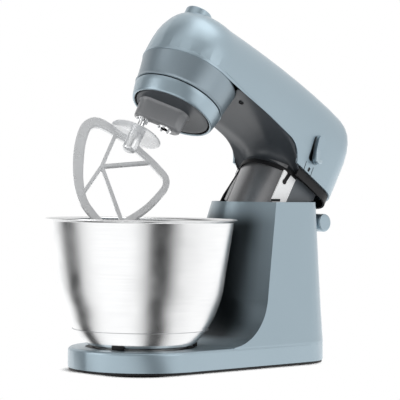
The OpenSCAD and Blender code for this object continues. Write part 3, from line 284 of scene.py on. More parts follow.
def relief(tree, height, depth, under=None):
    """Bumps of a depth in metres, over another relief or direction where one is given."""
    inputs = {"Height": height, "Strength": 0.5, "Distance": depth}
    return add_node(tree, "Bump", {**inputs, "Normal": under} if under else inputs)


print("bricks ready")

# %% [markdown]
# The housings are die-cast metal sprayed with a satin paint. Sprayed paint dries with a faint
# orange-peel ripple about two millimetres across, and a clear coat over it gives the soft
# broad highlights. The hub is sprayed in a greyer shade of the same paint. The speed lever
# has a slightly lighter copy of it, painted light that sets its proud face off from the shell.

# %% Sprayed paint
def sprayed_paint(name, dark, light, gloss):
    tree, shader, where = start_finish(name)
    fleck = noise(tree, where, 2600, 1)
    peel = relief(tree, noise(tree, where, 420, 2), 0.00005)
    plug(tree, shader, {
        "Base Color": tint(tree, noise(tree, where, 9, 2), dark, light),
        "Roughness": spread(tree, fleck, gloss - 0.03, gloss + 0.05),
        "Normal": relief(tree, fleck, 0.00001, peel),
        "Metallic": 0.75, "Coat Weight": 0.35, "Coat Roughness": 0.22})
    return tree, shader, where


blue = ((0.33, 0.42, 0.475), (0.36, 0.45, 0.505), 0.4)
sprayed_paint("blue_paint", *blue)
sprayed_paint("hub_paint", (0.24, 0.3, 0.34), (0.27, 0.33, 0.37), 0.46)
# Painted light: the lever's paint is a lighter copy, so its face reads lit against the shell.
sprayed_paint("lit_lever_paint", (0.4, 0.49, 0.54), (0.43, 0.52, 0.57), 0.42)
print("paints:", list(finishes))

# %% [markdown]
# The hollow front of the column faces the bowl, a hand's width away, and hardly any light
# reaches it. That shade is painted into the same paint: it is tinted down by where the surface
# lies and which way it looks, and its coat and sheen are turned down with it. The painted shade
# is deepest behind the bowl and lets go towards the near edge and the rim.

# %% Painted shade in the hollow of the column
tree, shader, where = sprayed_paint("column_paint_with_painted_shade", *blue)
place_x, _, place_z = split(tree, where)
look_x, look_y, _ = split(tree, add_node(tree, "NewGeometry", output="Normal"))
# Painted shade: this mask darkens the paint and its coat where the column's front faces the bowl.
hollow = product(tree, fade(tree, look_x, 0.45, 0.85, 1, 0), fade(tree, look_y, -0.1, 0.3, 1, 0),
                 fade(tree, look_x, -0.85, -0.45, 0, 1), fade(tree, place_z, 0.0275, 0.04, 0, 1),
                 fade(tree, place_z, 0.17, 0.2, 1, 0.25))
depth = product(tree, hollow, fade(tree, place_x, 0.034, 0.07, 0.93, 0.58))
unshaded_share = add_node(tree, "Math", {0: 1, 1: depth}, operation="SUBTRACT")
painted = shader.inputs["Base Color"].links[0].from_socket
plug(tree, shader, {
    "Base Color": add_node(tree, "VectorMath", {0: painted, "Scale": unshaded_share}, operation="SCALE"),
    "Coat Weight": fade(tree, unshaded_share, 0.1, 1, 0.03, 0.35),
    "Specular IOR Level": fade(tree, unshaded_share, 0.1, 1, 0.1, 0.5)})
print("column paint has", len(tree.nodes), "nodes")

# %% [markdown]
# The dark trim is injection-moulded plastic. Its mould is spark-eroded, which leaves a fine
# even pebble of a third of a millimetre, and the surface dulls a little where the grain is
# deeper. The neck's front has metal flake in it, the black trim is dull, and the white windows
# are smooth and glow a little, as painted light that keeps them bright in the neck's shade.
# The rubber is rougher and darker.

# %% Moulded plastics and rubber
def moulded(name, dark, light, gloss, grain_scale, depth, more=None):
    tree, shader, where = start_finish(name)
    pebble = noise(tree, where, grain_scale, 2)
    plug(tree, shader, {
        "Base Color": tint(tree, noise(tree, where, 24, 3), dark, light),
        "Roughness": spread(tree, pebble, gloss - 0.06, gloss + 0.08),
        "Normal": relief(tree, pebble, depth),
        **(more or {})})


moulded("dark_plastic", (0.05, 0.058, 0.066), (0.068, 0.076, 0.085), 0.44, 2400, 0.00004)
moulded("grey_plastic", (0.17, 0.17, 0.173), (0.21, 0.21, 0.213), 0.36, 2400, 0.00003)
moulded("neck_plastic", (0.27, 0.27, 0.275), (0.32, 0.32, 0.325), 0.3, 2400, 0.00002,
        {"Metallic": 0.6})
moulded("block_plastic", (0.3, 0.3, 0.305), (0.36, 0.36, 0.365), 0.3, 2400, 0.00003)
# Painted light: a lighter copy of the dark plastic for the neck's rear, which sits in the head's shadow.
moulded("painted_light_rear_plastic", (0.15, 0.165, 0.18), (0.18, 0.195, 0.21), 0.42, 2400, 0.00004)
moulded("black_plastic", (0.007, 0.007, 0.008), (0.012, 0.012, 0.013), 0.5, 2000, 0.00003,
        {"Specular IOR Level": 0.25})
# Painted light: the white plastic glows a little, so the windows stay bright in the neck's shade.
moulded("white_plastic", (0.88, 0.88, 0.87), (0.92, 0.92, 0.91), 0.38, 900, 0.00001,
        {"Emission Color": (1, 1, 1, 1), "Emission Strength": 0.25})
moulded("rubber", (0.008, 0.008, 0.008), (0.014, 0.014, 0.013), 0.7, 1500, 0.00006)
print("plastics done,", len(finishes), "finishes")

# %% [markdown]
# The bowl is spun from sheet steel and brushed while it turns, so its scratches run round its
# axis. The shader needs two things for that: a noise that is long around the axis and very
# short along it, and a tangent that points around the axis so that highlights stretch into
# upright bands. Near the foot the wall curls under and would mirror the blue base. The coarser
# brushing there is shaded as if the wall stood upright, so the bands run on down.

# %% Brushed bowl steel
coarse_below = 0.05
tree, shader, where = start_finish("brushed_bowl")
from_axis = add_node(tree, "VectorMath", {0: where, 1: bowl_axis}, operation="SUBTRACT")
off_x, off_y, off_z = split(tree, from_axis)
turn = add_node(tree, "Math", {0: off_y, 1: off_x}, operation="ARCTAN2")
flat = add_node(tree, "CombineXYZ", {"X": off_x, "Y": off_y})
radius = add_node(tree, "VectorMath", {0: flat}, "Value", operation="LENGTH")
unrolled = add_node(tree, "CombineXYZ", {"X": turn, "Y": radius, "Z": off_z})
tangent = add_node(tree, "VectorMath", {0: UP, 1: flat}, operation="CROSS_PRODUCT")
look_x, look_y, look_z = split(tree, add_node(tree, "NewGeometry", output="Normal"))
rise = fade(tree, split(tree, where)[2], coarse_below - 0.001, coarse_below + 0.03, 0.12, 1)
upright = add_node(tree, "CombineXYZ", {"X": look_x, "Y": look_y, "Z": product(tree, look_z, rise)})
upright = add_node(tree, "VectorMath", {0: upright}, operation="NORMALIZE")
scratches = noise(tree, unrolled, 1.0, 4, (1.5, 0, 900))
plug(tree, shader, {
    "Base Color": tint(tree, scratches, (0.66, 0.665, 0.67), (0.74, 0.742, 0.745)),
    "Roughness": spread(tree, noise(tree, where, 30, 2), 0.17, 0.25),
    "Normal": relief(tree, scratches, 0.000001, upright),
    "Tangent": tangent, "Metallic": 1, "Anisotropic": 0.75})
print("bowl steel brushed about", tuple(round(v, 3) for v in bowl_axis))

# %% [markdown]
# The beater and its disc are cast in aluminium and tumbled, which leaves a silky surface with
# tiny dimples. Pins, springs and brackets are plain steel with drawn or turned marks, and the
# sockets and shank are polished and plated.

# %% Bare metals
def bare_metal(name, dark, light, gloss, scale, depth, stretch=None, metallic=1):
    tree, shader, where = start_finish(name)
    marks = noise(tree, where, scale, 3, stretch)
    plug(tree, shader, {
        "Base Color": tint(tree, marks, dark, light),
        "Roughness": spread(tree, noise(tree, where, 60, 2), gloss - 0.04, gloss + 0.06),
        "Normal": relief(tree, marks, depth), "Metallic": metallic})


bare_metal("cast_alloy", (0.86, 0.865, 0.87), (0.93, 0.935, 0.94), 0.28, 1300, 0.00002, metallic=0.4)
bare_metal("steel", (0.36, 0.37, 0.38), (0.5, 0.51, 0.52), 0.34, 700, 0.00002, (1, 1, 6))
bare_metal("chrome", (0.74, 0.75, 0.76), (0.8, 0.81, 0.82), 0.1, 300, 0.000004)
bare_metal("gear_brass", (0.5, 0.36, 0.14), (0.62, 0.45, 0.2), 0.32, 900, 0.00002, (1, 1, 5))
print("metals done,", len(finishes), "finishes")

# %% [markdown]
# Two finishes stay out of sight inside the head. The windings are lacquered copper wire laid
# in even turns, and the control board is green lacquer with a faint pattern of tracks.

# %% Windings and control board
tree, shader, where = start_finish("winding")
wires = add_node(tree, "TexWave", {"Vector": where, "Scale": 420, "Distortion": 0.6}, "Fac")
plug(tree, shader, {
    "Base Color": tint(tree, wires, (0.16, 0.05, 0.015), (0.46, 0.2, 0.07)),
    "Roughness": spread(tree, noise(tree, where, 90), 0.25, 0.4),
    "Normal": relief(tree, wires, 0.0002), "Metallic": 0.7})

tree, shader, where = start_finish("green_board")
tracks = add_node(tree, "TexBrick", {
    "Vector": where, "Scale": 160, "Color1": (0.01, 0.09, 0.03, 1),
    "Color2": (0.015, 0.12, 0.045, 1), "Mortar": (0.03, 0.2, 0.08, 1)})
plug(tree, shader, {
    "Base Color": tracks, "Roughness": spread(tree, noise(tree, where, 80), 0.2, 0.35),
    "Normal": relief(tree, tracks.node.outputs["Fac"], 0.00003)})
print("all finishes:", sorted(finishes))

# %% [markdown]
# The CAD pieces arrive as loose triangles. Welding them, easing every sharp edge by a third
# of a millimetre and shading the rest smoothly makes them read as moulded and machined parts
# without touching their own vertices. Each one then takes the finish named by its slot. Two
# pieces have a finish of their own: the column's paint carries painted shade, and the neck's
# rear takes a lighter plastic as painted light, because it sits in the head's shadow.

# %% Dress the CAD pieces
edge_ease = 0.0003
own_finish = {"base_housing": "column_paint_with_painted_shade", "neck_rear_shell": "painted_light_rear_plastic"}


def soften(piece):
    for face in piece.data.polygons:
        face.use_smooth = True
    weld = piece.modifiers.new("weld", "WELD")
    weld.merge_threshold = 0.00002
    ease = piece.modifiers.new("ease", "BEVEL")
    ease.width = edge_ease
    ease.segments = 2
    ease.limit_method = "ANGLE"
    ease.angle_limit = math.radians(30)
    ease.harden_normals = False
    lay = piece.modifiers.new("lay", "WEIGHTED_NORMAL")
    lay.keep_sharp = True


for name in nodes:
    piece = bpy.data.objects[name]
    soften(piece)
    for slot in piece.material_slots:
        slot.material = finishes[own_finish.get(name, slot.material.name.split(".")[0])]
print("dressed", len(nodes), "pieces")

# %% [markdown]
# Most of the pieces made here start as a drawn line. A line is one point that is extruded from
# place to place. Spun about an axis, it becomes a turned piece such as the bowl, the way a
# metal spinner or a lathe would make it. Every finished piece then takes its material, says
# which body it rides on, and names the CAD pieces that it stands for.

# %% Drawn lines, turned pieces and finishing
def activate(*pieces):
    """Select only these pieces and make the first one active."""
    bpy.ops.object.select_all(action="DESELECT")
    for piece in pieces:
        piece.select_set(True)
    bpy.context.view_layer.objects.active = pieces[0]


def smooth_by_angle(degrees):
    bpy.ops.object.shade_smooth_by_angle(angle=math.radians(degrees))


def polyline(name, points):
    """A line of edges drawn from the first point through the others."""
    bpy.ops.object.select_all(action="DESELECT")
    bpy.ops.mesh.primitive_plane_add(size=0.001, location=(0, 0, 0))
    line = bpy.context.object
    line.name = name
    bpy.ops.object.mode_set(mode="EDIT")
    mesh = bmesh.from_edit_mesh(line.data)
    mesh.verts.ensure_lookup_table()
    bmesh.ops.delete(mesh, geom=list(mesh.verts)[1:], context="VERTS")
    mesh.verts.ensure_lookup_table()
    mesh.verts[0].co = points[0]
    mesh.verts[0].select = True
    bmesh.update_edit_mesh(line.data)
    for before, after in zip(points, points[1:]):
        bpy.ops.mesh.extrude_region_move(TRANSFORM_OT_translate={"value": after - before})
    bpy.ops.object.mode_set(mode="OBJECT")
    return line


def turned(name, places, centre, steps=128, axis=UP):
    """Spin a line through these places once round an axis."""
    piece = polyline(name, places)
    bpy.ops.object.mode_set(mode="EDIT")
    bpy.ops.mesh.select_all(action="SELECT")
    bpy.ops.mesh.spin(steps=steps, angle=2 * math.pi, center=centre, axis=axis)
    bpy.ops.mesh.select_all(action="SELECT")
    bpy.ops.mesh.remove_doubles(threshold=0.00002)
    bpy.ops.mesh.normals_make_consistent(inside=False)
    bpy.ops.object.mode_set(mode="OBJECT")
    smooth_by_angle(38)
    return piece


def finish_piece(piece, body, slot, *replaced, own=None):
    """Give a piece its finish and body, and hide the CAD pieces it replaces. The finish is the slot's
    unless its own is given.
    """
    piece.data.materials.clear()
    piece.data.materials.append(finishes[own or slot])
    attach(piece, body)
    if replaced:
        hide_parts(*replaced)
    print(piece.name, "has", len(piece.data.polygons), "faces, finish", own or slot)


print("line and lathe ready")

# %% [markdown]
# The bowl is one sheet of steel spun over a former, so its wall is turned here from its own
# section: down the outside from the rolled rim, round under the floor and up the inside. The
# widest points of the CAD bowl give the wall's line. A faint groove runs round the outside
# where the lower part is pressed, and the sheet stays about a millimetre thick.

# %% Bowl wall
sheet_t = 0.001
groove_z = 0.0496
rim_z = bowl_high.z
rim_r = (bowl_high.x - bowl_low.x) / 2
floor_z = bowl_low.z + 0.006
lowest_wall, rim_depth, least_step = 0.0315, 0.003, 0.0015


def around_bowl(section):
    """Places for (radius, height) pairs about the bowl's axis."""
    return [bowl_axis + Vector((reach, 0, height)) for reach, height in section]


def smooth_line(points, steps):
    """More points on a soft curve through these ones."""
    line = []
    for i in range(len(points) - 1):
        a, b = points[max(i - 1, 0)], points[i]
        c, d = points[i + 1], points[min(i + 2, len(points) - 1)]
        for k in range(steps):
            t = k / steps
            line.append(tuple(0.5 * (2 * q + (r - p) * t + (2 * p - 5 * q + 4 * r - s) * t * t
                                     + (3 * q - p - 3 * r + s) * t ** 3)
                              for p, q, r, s in zip(a, b, c, d)))
    return line + [points[-1]]


widest = {}
for vertex in bpy.data.objects["bowl"].data.vertices:
    height = round(vertex.co.z, 4)
    reach = math.hypot(vertex.co.x - bowl_axis.x, vertex.co.y - bowl_axis.y)
    widest[height] = max(widest.get(height, 0), reach)
wall = [(reach, height) for height, reach in sorted(widest.items())
        if lowest_wall < height < rim_z - rim_depth]
wall = [p for i, p in enumerate(wall) if i == 0 or p[1] - wall[i - 1][1] > least_step]
outside = smooth_line([(0.0505, floor_z + 0.001), (0.057, floor_z + 0.0012)] + wall, 3)
outside = [p for p in outside if abs(p[1] - groove_z) > 0.0012]
above_groove = next(i for i, p in enumerate(outside) if p[1] > groove_z)
groove_r = outside[above_groove][0]
outside[above_groove:above_groove] = [(groove_r - 0.0012, groove_z - 0.0008),
                                      (groove_r - 0.0011, groove_z - 0.0003),
                                      (groove_r - 0.0006, groove_z + 0.0002)]
rim = [(rim_r - 0.0028, rim_z - 0.0026), (rim_r - 0.0008, rim_z - 0.0021), (rim_r, rim_z - 0.0012),
       (rim_r - 0.0004, rim_z - 0.0003), (rim_r - 0.0014, rim_z), (rim_r - 0.0032, rim_z - 0.0006)]
inside = [(reach - sheet_t * 1.02, height + 0.0002) for reach, height in reversed(wall)]
floor = [(0.052, floor_z + sheet_t + 0.0006), (0.03, floor_z + sheet_t), (0.0, floor_z + sheet_t)]
section = outside + rim + inside + floor
bowl_wall = turned("bowl_wall", around_bowl(section), bowl_axis)
print("bowl wall turned from", len(section), "points, rim", round(rim_r * 1000, 1), "mm")

# %% [markdown]
# The foot is a pressed ring welded under the floor. It is turned as a ring of its own, from the
# floor down to where the CAD foot ends, and joined to the wall because the two are one
# weldment. A ring of darker steel, as fine as a wire, lies in the groove as painted shade, so
# the groove shows as a dark line.

# %% Bowl foot and groove line
foot_r = 0.056
foot_t = 0.0016
foot = turned("bowl_foot", around_bowl([
    (0.0, floor_z), (foot_r - foot_t, floor_z), (foot_r - foot_t, bowl_low.z),
    (foot_r, bowl_low.z), (foot_r, floor_z + 0.001), (0.0, floor_z + 0.0009)]), bowl_axis, 96)
activate(bowl_wall, foot)
bpy.ops.object.join()
finish_piece(bowl_wall, "bowl", "brushed_bowl", "bowl")
# Painted shade: a ring of darker steel marks the groove as a dark line.
groove_shade_line = turned("bowl_groove_shade", around_bowl([
    (groove_r - 0.0016, groove_z - 0.0006), (groove_r + 0.0001, groove_z - 0.0005),
    (groove_r + 0.0003, groove_z), (groove_r - 0.0012, groove_z + 0.0004)]), bowl_axis)
finish_piece(groove_shade_line, "bowl", "steel")

# %% [markdown]
# The bayonet notches in the foot show as small dark slots at the bottom of the wall. Each is a
# short black block with eased corners, turned to face the bowl's axis, as painted shade inside
# the notch.

# %% Notches of the foot
notch_headings = (-65.5, 54.5, 174.5)
notch_reach, notch_z = 0.0655, 0.0312
notch_size = (0.0046, 0.0145, 0.0052)

for number, degrees in enumerate(notch_headings):
    spot = math.radians(degrees)
    middle = bowl_axis + Vector((notch_reach * math.cos(spot), notch_reach * math.sin(spot), notch_z))
    bpy.ops.object.select_all(action="DESELECT")
    bpy.ops.mesh.primitive_cube_add(size=1, location=middle, scale=notch_size)
    notch = bpy.context.object
    notch.name = f"foot_notch_{number}"
    bpy.ops.object.mode_set(mode="EDIT")
    bpy.ops.mesh.select_all(action="SELECT")
    bpy.ops.transform.rotate(value=-spot, orient_axis="Z", center_override=middle)
    bpy.ops.mesh.bevel(offset=0.0006, segments=2)
    bpy.ops.object.mode_set(mode="OBJECT")
    bpy.ops.object.transform_apply(location=True, rotation=True, scale=True)
    smooth_by_angle(38)
    # Painted shade: a black block stands for the dark inside of the notch.
    finish_piece(notch, "bowl", "black_plastic")

# %% [markdown]
# The head is raised about its hinge pin. Its pieces are easier to measure with the head level,
# so one helper turns a place on the level head into its place in the raised one. The pin's own
# box gives the centre of that turn, and the joint's range gives its angle.

# %% The raised head
tilt = next(joint for joint in frame["record"]["behaviour"]["joints"] if joint["name"] == "head_tilt")
lean = math.radians(tilt["range_deg"][0])
pin_low, pin_high = (Vector(corner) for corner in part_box("hinge_pin"))
hinge_at = Vector((0, (pin_low.y + pin_high.y) / 2, (pin_low.z + pin_high.z) / 2))


def lowered_to_frame(x, y, z):
    """A place given with the head level (bowl axis at y 0, in millimetres), in the raised head."""
    level_point = Vector((x / 1000, bowl_axis.y + y / 1000, z / 1000))
    return hinge_at + Matrix.Rotation(lean, 4, "X") @ (level_point - hinge_at)


hub_axis = lowered_to_frame(0, 0, 1) - lowered_to_frame(0, 0, 0)
hub_centre = lowered_to_frame(0, 0, 230)
print("hub axis points to", tuple(round(v, 3) for v in hub_axis.normalized()))

# %% [markdown]
# The hub is a stack of turned shells: the greyer housing under the mouth of the blue head, and
# a satin ring at the bottom. Undercuts of less than a millimetre part them, because two
# moulded shells never meet flush, and each edge ends in a small rolled bead. The undercut and
# the liner inside the ring are black, as painted shade in the seams. A dark disc closes the hub
# and turns with the carrier. It is dished a little, with a step near its rim.

# %% Hub shells and disc
def hub_piece(name, section, body, slot, *replaced):
    """A piece turned about the hub's axis, from (radius, height) pairs in millimetres."""
    places = [lowered_to_frame(reach, 0, height) for reach, height in section]
    finish_piece(turned(name, places, hub_centre, axis=hub_axis), body, slot, *replaced)


hub_piece("hub_housing_shell", [
    (57, 261), (60.4, 260.4), (61.2, 259.4), (61.5, 258.4), (61.2, 257.0), (60.4, 253),
    (58.6, 243.6), (57.4, 236), (56.7, 230), (56.5, 227.6), (56.9, 226.9), (57.1, 226.1),
    (56.8, 225.4), (56.1, 225.2), (53.5, 225.4)], "head", "hub_paint", "hub_housing")
hub_piece("hub_ring_shell", [
    (53.5, 224.4), (55.2, 224.4), (55.9, 223.8), (56.0, 222.8), (55.2, 218.5), (53.4, 210.6),
    (52.6, 207.6), (52.2, 206.4), (51.5, 205.6), (50.6, 205.4), (49.8, 205.6), (49.3, 206.2),
    (49.2, 207.4), (49.3, 214)], "head", "blue_paint", "hub_ring")
# Painted shade: the undercut and the liner are black so the seams read dark.
hub_piece("hub_undercut", [
    (55.4, 226.2), (55.5, 225.2), (54.6, 224.9), (54.6, 224.6), (55.3, 224.2), (55.2, 222.8)],
    "head", "black_plastic")
hub_piece("hub_liner", [(49.25, 206.6), (48.7, 206.2), (48.3, 206.6), (48.2, 214)],
          "head", "black_plastic")
hub_piece("hub_disc", [
    (0.01, 207.2), (38, 207.0), (40, 206.6), (44.5, 206.4), (46.6, 206.5), (47.1, 207),
    (47.2, 213)], "carrier", "dark_plastic", "carrier_cover")

# %% [markdown]
# The freer shapes are lofted: several drawn lines of equally many points are bridged, one pair
# after another, into a skin. These helpers bridge the lines, point the faces outward, even out
# a skin's inner points and give it a wall.

# %% Lofting
def loft(name, rows):
    """Bridge lines of equally many points, in order, into one open skin."""
    lines = [polyline("line", row) for row in rows]
    activate(*lines)
    bpy.ops.object.join()
    skin = bpy.context.object
    skin.name = name
    for i in range(len(rows) - 1):
        bpy.ops.object.mode_set(mode="EDIT")
        bpy.ops.mesh.select_all(action="DESELECT")
        mesh = bmesh.from_edit_mesh(skin.data)
        mesh.verts.ensure_lookup_table()
        wanted = {min(mesh.verts, key=lambda v: (v.co - point).length_squared).index
                  for row in rows[i:i + 2] for point in row}
        for edge in mesh.edges:
            if not all(v.index in wanted for v in edge.verts):
                continue
            if not edge.link_faces:
                edge.select = True
            elif i > 0:
                edge.select = all(any((v.co - p).length < 1e-7 for p in rows[i]) for v in edge.verts)
        bmesh.update_edit_mesh(skin.data)
        bpy.ops.mesh.bridge_edge_loops()
        bpy.ops.object.mode_set(mode="OBJECT")
    print(name, "bridged", len(rows), "lines of", len(rows[0]))
    return skin


def close_seams(piece):
    """Merge the doubled points of a skin that closes on itself and make its faces agree."""
    activate(piece)
    bpy.ops.object.mode_set(mode="EDIT")
    bpy.ops.mesh.select_all(action="SELECT")
    bpy.ops.mesh.remove_doubles(threshold=0.00003)
    bpy.ops.mesh.normals_make_consistent(inside=False)
    bpy.ops.object.mode_set(mode="OBJECT")


def face_outward(piece, inner_point):
    """Make a skin's faces agree and look away from a point on its inner side."""
    close_seams(piece)
    faces = piece.data.polygons
    if sum(face.normal.dot(face.center - inner_point) * face.area for face in faces) < 0:
        bpy.ops.object.mode_set(mode="EDIT")
        bpy.ops.mesh.select_all(action="SELECT")
        bpy.ops.mesh.flip_normals()
        bpy.ops.object.mode_set(mode="OBJECT")


def relax(skin, repeats):
    """Move a skin's inner points towards their neighbours and leave its borders in place."""
    activate(skin)
    bpy.ops.object.mode_set(mode="EDIT")
    bpy.ops.mesh.select_all(action="DESELECT")
    mesh = bmesh.from_edit_mesh(skin.data)
    for point in mesh.verts:
        point.select = not point.is_boundary
    mesh.select_flush_mode()
    bmesh.update_edit_mesh(skin.data)
    bpy.ops.mesh.vertices_smooth(factor=0.5, repeat=repeats)
    bpy.ops.object.mode_set(mode="OBJECT")


def thicken(piece, thickness, levels=0, offset=-1):
    """Subdivide a skin, give it a wall and apply both."""
    if levels:
        smooth = piece.modifiers.new("smooth", "SUBSURF")
        smooth.levels = smooth.render_levels = levels
    shell = piece.modifiers.new("wall", "SOLIDIFY")
    shell.thickness = thickness
    shell.offset = offset
    shell.use_even_offset = True
    activate(piece)
    for modifier in list(piece.modifiers):
        bpy.ops.object.modifier_apply(modifier=modifier.name)
    smooth_by_angle(40)


print("lofting ready")

# %% [markdown]
# The measures of the level head, in millimetres. The blue shell narrows to the rear. Its lower
# edge dips a little towards the nose, and behind the middle it turns down in a quarter round
# to the collar round the neck.

# %% Measures of the head
width_front, width_rear, width_end = 62, 55, 232
neck_y, lip_z = 216, 230
nose_lip_z, lip_rise, lip_level_y = 258.6, 4.4, 110
bend_y, bend_z, bend_r = 140, 233, 30
skin_gap, rear_gap, gap_from_y, gap_to_y = 1.4, 2.4, 158, 170
rear_from_y, rear_to_y = 168, 196
rear_high_z, rear_low_z = 241.6, 231.5
hub_reach = 61.9
nearest_edge, farthest_edge, edge_step = 40, 225, 0.2


def skin_x(y):
    """How far the blue shell's side stands from the middle."""
    return width_front + (width_rear - width_front) * y / width_end


def underside_half_width(y):
    """The dark shell lies inside the blue one, and further inside behind the bend."""
    share = min(max((y - gap_from_y) / (gap_to_y - gap_from_y), 0), 1)
    return skin_x(y) - (skin_gap + rear_gap * share)


def lip_edge(y):
    """Height of the lower edge of the blue shell, which dips a little towards the nose."""
    share = min(max(y / lip_level_y, 0), 1)
    return nose_lip_z + lip_rise * share * share * (3 - 2 * share)


def edge_height(y):
    """Height at which the dark underside meets the blue shell."""
    if y <= bend_y:
        return min(lip_edge(y) + 0.5, 262.4)
    if y < rear_from_y:
        return bend_z + math.sqrt(bend_r ** 2 - (y - bend_y) ** 2) - 0.4
    share = min(max((rear_to_y - y) / (rear_to_y - rear_from_y), 0), 1)
    return rear_low_z + (rear_high_z - rear_low_z) * share


def edge_at(angle):
    """Distance from the neck's axis to the underside's edge, and its height, in one heading."""
    reach = nearest_edge
    while reach < farthest_edge:
        x, y = reach * abs(math.sin(angle)), neck_y - reach * math.cos(angle)
        if x >= underside_half_width(y) or (math.hypot(x, y) <= hub_reach and y > 0):
            break
        reach += edge_step
    return reach, edge_height(y)


print("head is", 2 * skin_x(0), "mm wide at the nose and", 2 * skin_x(width_end), "at the rear")

# %% [markdown]
# The dark underside flows like a trumpet from the painted edge down into the collar. Each of
# its lines is worked out heading by heading around the neck. Towards the hub the skin runs
# flat for a long way before it dips, and at the sides it is narrow and meets the curved edge of
# the blue shell. The skin is relaxed at the end, so that no crease is left between the two
# kinds of heading. A band closes the collar under it, black as painted shade where the collar
# turns under. On the far left the skin itself runs down over the band.

# %% Underside and collar
flat_from, flat_z = 99, 261.4
collar_h = 5
waist_r, lip_r = 60, 68
waist_rise, full_height = 9, 31
neck_squeeze = 0.78
bare_up_to, covered_from = -46, -32


def underside_profile(angle):
    """(distance, height) pairs from the lip out to the edge, and those of the black band."""
    squeeze = 1 / math.hypot(math.cos(angle), math.sin(angle) / neck_squeeze)
    reach, edge_z = edge_at(angle)
    top = min(edge_z, flat_z) if reach > flat_from else edge_z
    waist = min(waist_r * squeeze, reach - 3)
    lip = min(lip_r * squeeze, reach - 1.2)
    flare = min(flat_from, reach - 0.8)
    waist_z = lip_z + collar_h + waist_rise * min(max((top - lip_z) / full_height, 0.02), 1)
    bare = 1 - min(max((math.degrees(angle) - bare_up_to) / (covered_from - bare_up_to), 0), 1)
    profile = [(waist + (lip - waist) * (1 - math.cos(math.radians(b))),
                waist_z - (waist_z - lip_z - collar_h) * math.sin(math.radians(b)) - collar_h * bare)
               for b in (90, 60, 30, 0)]
    profile += [(waist + (flare - waist) * (1 - math.cos(math.radians(a))),
                 waist_z + (top - waist_z) * math.sin(math.radians(a))) for a in range(15, 91, 15)]
    profile += [(flare + (reach - flare) * t, top + (edge_z - top) * t) for t in (0.4, 0.8, 1)]
    band = lip - 2.5 * bare
    collar = [(band - 1.2, lip_z + 5.6), (band + 0.2, lip_z + 5.1), (band + 0.3, lip_z + 0.4),
              (band - 1, lip_z)]
    return profile, collar


underside_rows = [[] for _ in range(13)]
collar_rows = [[] for _ in range(4)]
for degrees in [*range(-104, -27, 4), *range(-26, 27, 2), *range(28, 105, 4)]:
    angle = math.radians(degrees)
    profile, collar = underside_profile(angle)
    for row, (distance, height) in zip(underside_rows + collar_rows, profile + collar):
        row.append(lowered_to_frame(distance * math.sin(angle), neck_y - distance * math.cos(angle),
                                    height))
underside = loft("head_underside", underside_rows)
face_outward(underside, lowered_to_frame(0, neck_y, 300))
relax(underside, 14)
thicken(underside, 0.0014, levels=1)
finish_piece(underside, "head", "dark_plastic", "lower_shell")
# Painted shade: the band is black for the shade under the collar.
collar_band = loft("collar_band", collar_rows)
face_outward(collar_band, lowered_to_frame(0, neck_y, 232))
thicken(collar_band, 0.001)
finish_piece(collar_band, "head", "black_plastic")

# %% [markdown]
# The blue shell ends in a lip that wraps the hub and runs on along both sides. It is one skin
# bridged through six lines: out of the shell, down its face, round a small bead and back up
# on the inside.

# %% Lip of the blue shell
def shell_outline(inset, rise):
    """The lip's line round the nose and along both sides, inset from the shell's face."""
    reach = width_front + 0.15 - inset
    side = [(reach - (width_front - width_rear) * y / width_end, y) for y in range(112, 0, -8)]
    nose = [(reach * math.sin(math.radians(a)), -reach * math.cos(math.radians(a)))
            for a in range(90, -91, -5)]
    line = side + nose + [(-x, y) for x, y in reversed(side)]
    return [lowered_to_frame(x, y, 263.5 if rise is None else lip_edge(y) + rise) for x, y in line]


lip = loft("shell_lip", [shell_outline(*line) for line in (
    (0.5, None), (0, 0.9), (0.15, 0.2), (0.6, 0), (1.2, 0.3), (1.3, 1.4))])
face_outward(lip, lowered_to_frame(0, 20, 300))
thicken(lip, 0.0004)
finish_piece(lip, "head", "blue_paint")

# %% [markdown]
# The grey block on the hub's disc holds the two tool sockets. It is drawn as its outline at
# several heights, two half circles round the sockets, and bridged into one skin, so that its
# foot can flare and the edge round the two mouths can be eased.

# %% Socket block
socket_reach = 28
block_tail = -7
arm_heading = math.radians(-135)


def block_outline(reach, height):
    line = []
    for along, turn in ((socket_reach, arm_heading), (block_tail, arm_heading + math.pi)):
        x, y = along * math.cos(arm_heading), along * math.sin(arm_heading)
        line += [lowered_to_frame(x + reach * math.cos(turn + math.radians(a)),
                                  y + reach * math.sin(turn + math.radians(a)), height)
                 for a in range(-90, 91, 12)]
    return line + line[:1]


block = loft("socket_block", [block_outline(reach, height) for reach, height in (
    (16.5, 207.6), (14.4, 206.2), (13.4, 203), (12.8, 192), (12.5, 185.4), (12.1, 184.2),
    (11.2, 183.5), (0.02, 183.5))])
close_seams(block)
smooth_by_angle(45)
finish_piece(block, "carrier", "grey_plastic", own="block_plastic")

# %% [markdown]
# Behind the collar the dark shell shows as a band under the blue one. It is black, as painted
# shade under the blue skirt, and a black ceiling, a sheet of painted shade for the dark inside,
# closes the head above the neck.

# %% Rear band and ceiling
band_inset, band_from_y = 3.6, 178
ceiling_z = 247


def rear_outline(z):
    """The band's line along both sides and round the rear corners."""
    corner = 32 - band_inset
    right = [(underside_half_width(y) + 3.8 - band_inset, y) for y in range(band_from_y, 232, 8)]
    right += [(width_rear - band_inset - corner + corner * math.cos(math.radians(a)),
               264 - band_inset - corner + corner * math.sin(math.radians(a)))
              for a in range(0, 91, 9)]
    return [lowered_to_frame(x, y, z) for x, y in right + [(-x, y) for x, y in reversed(right)]]


# Painted shade: the band is black for the shade under the skirt.
band = loft("rear_band", [rear_outline(z) for z in (230.2, 236, 243)])
face_outward(band, lowered_to_frame(0, 200, 236))
thicken(band, 0.0022, offset=0)
finish_piece(band, "head", "black_plastic")


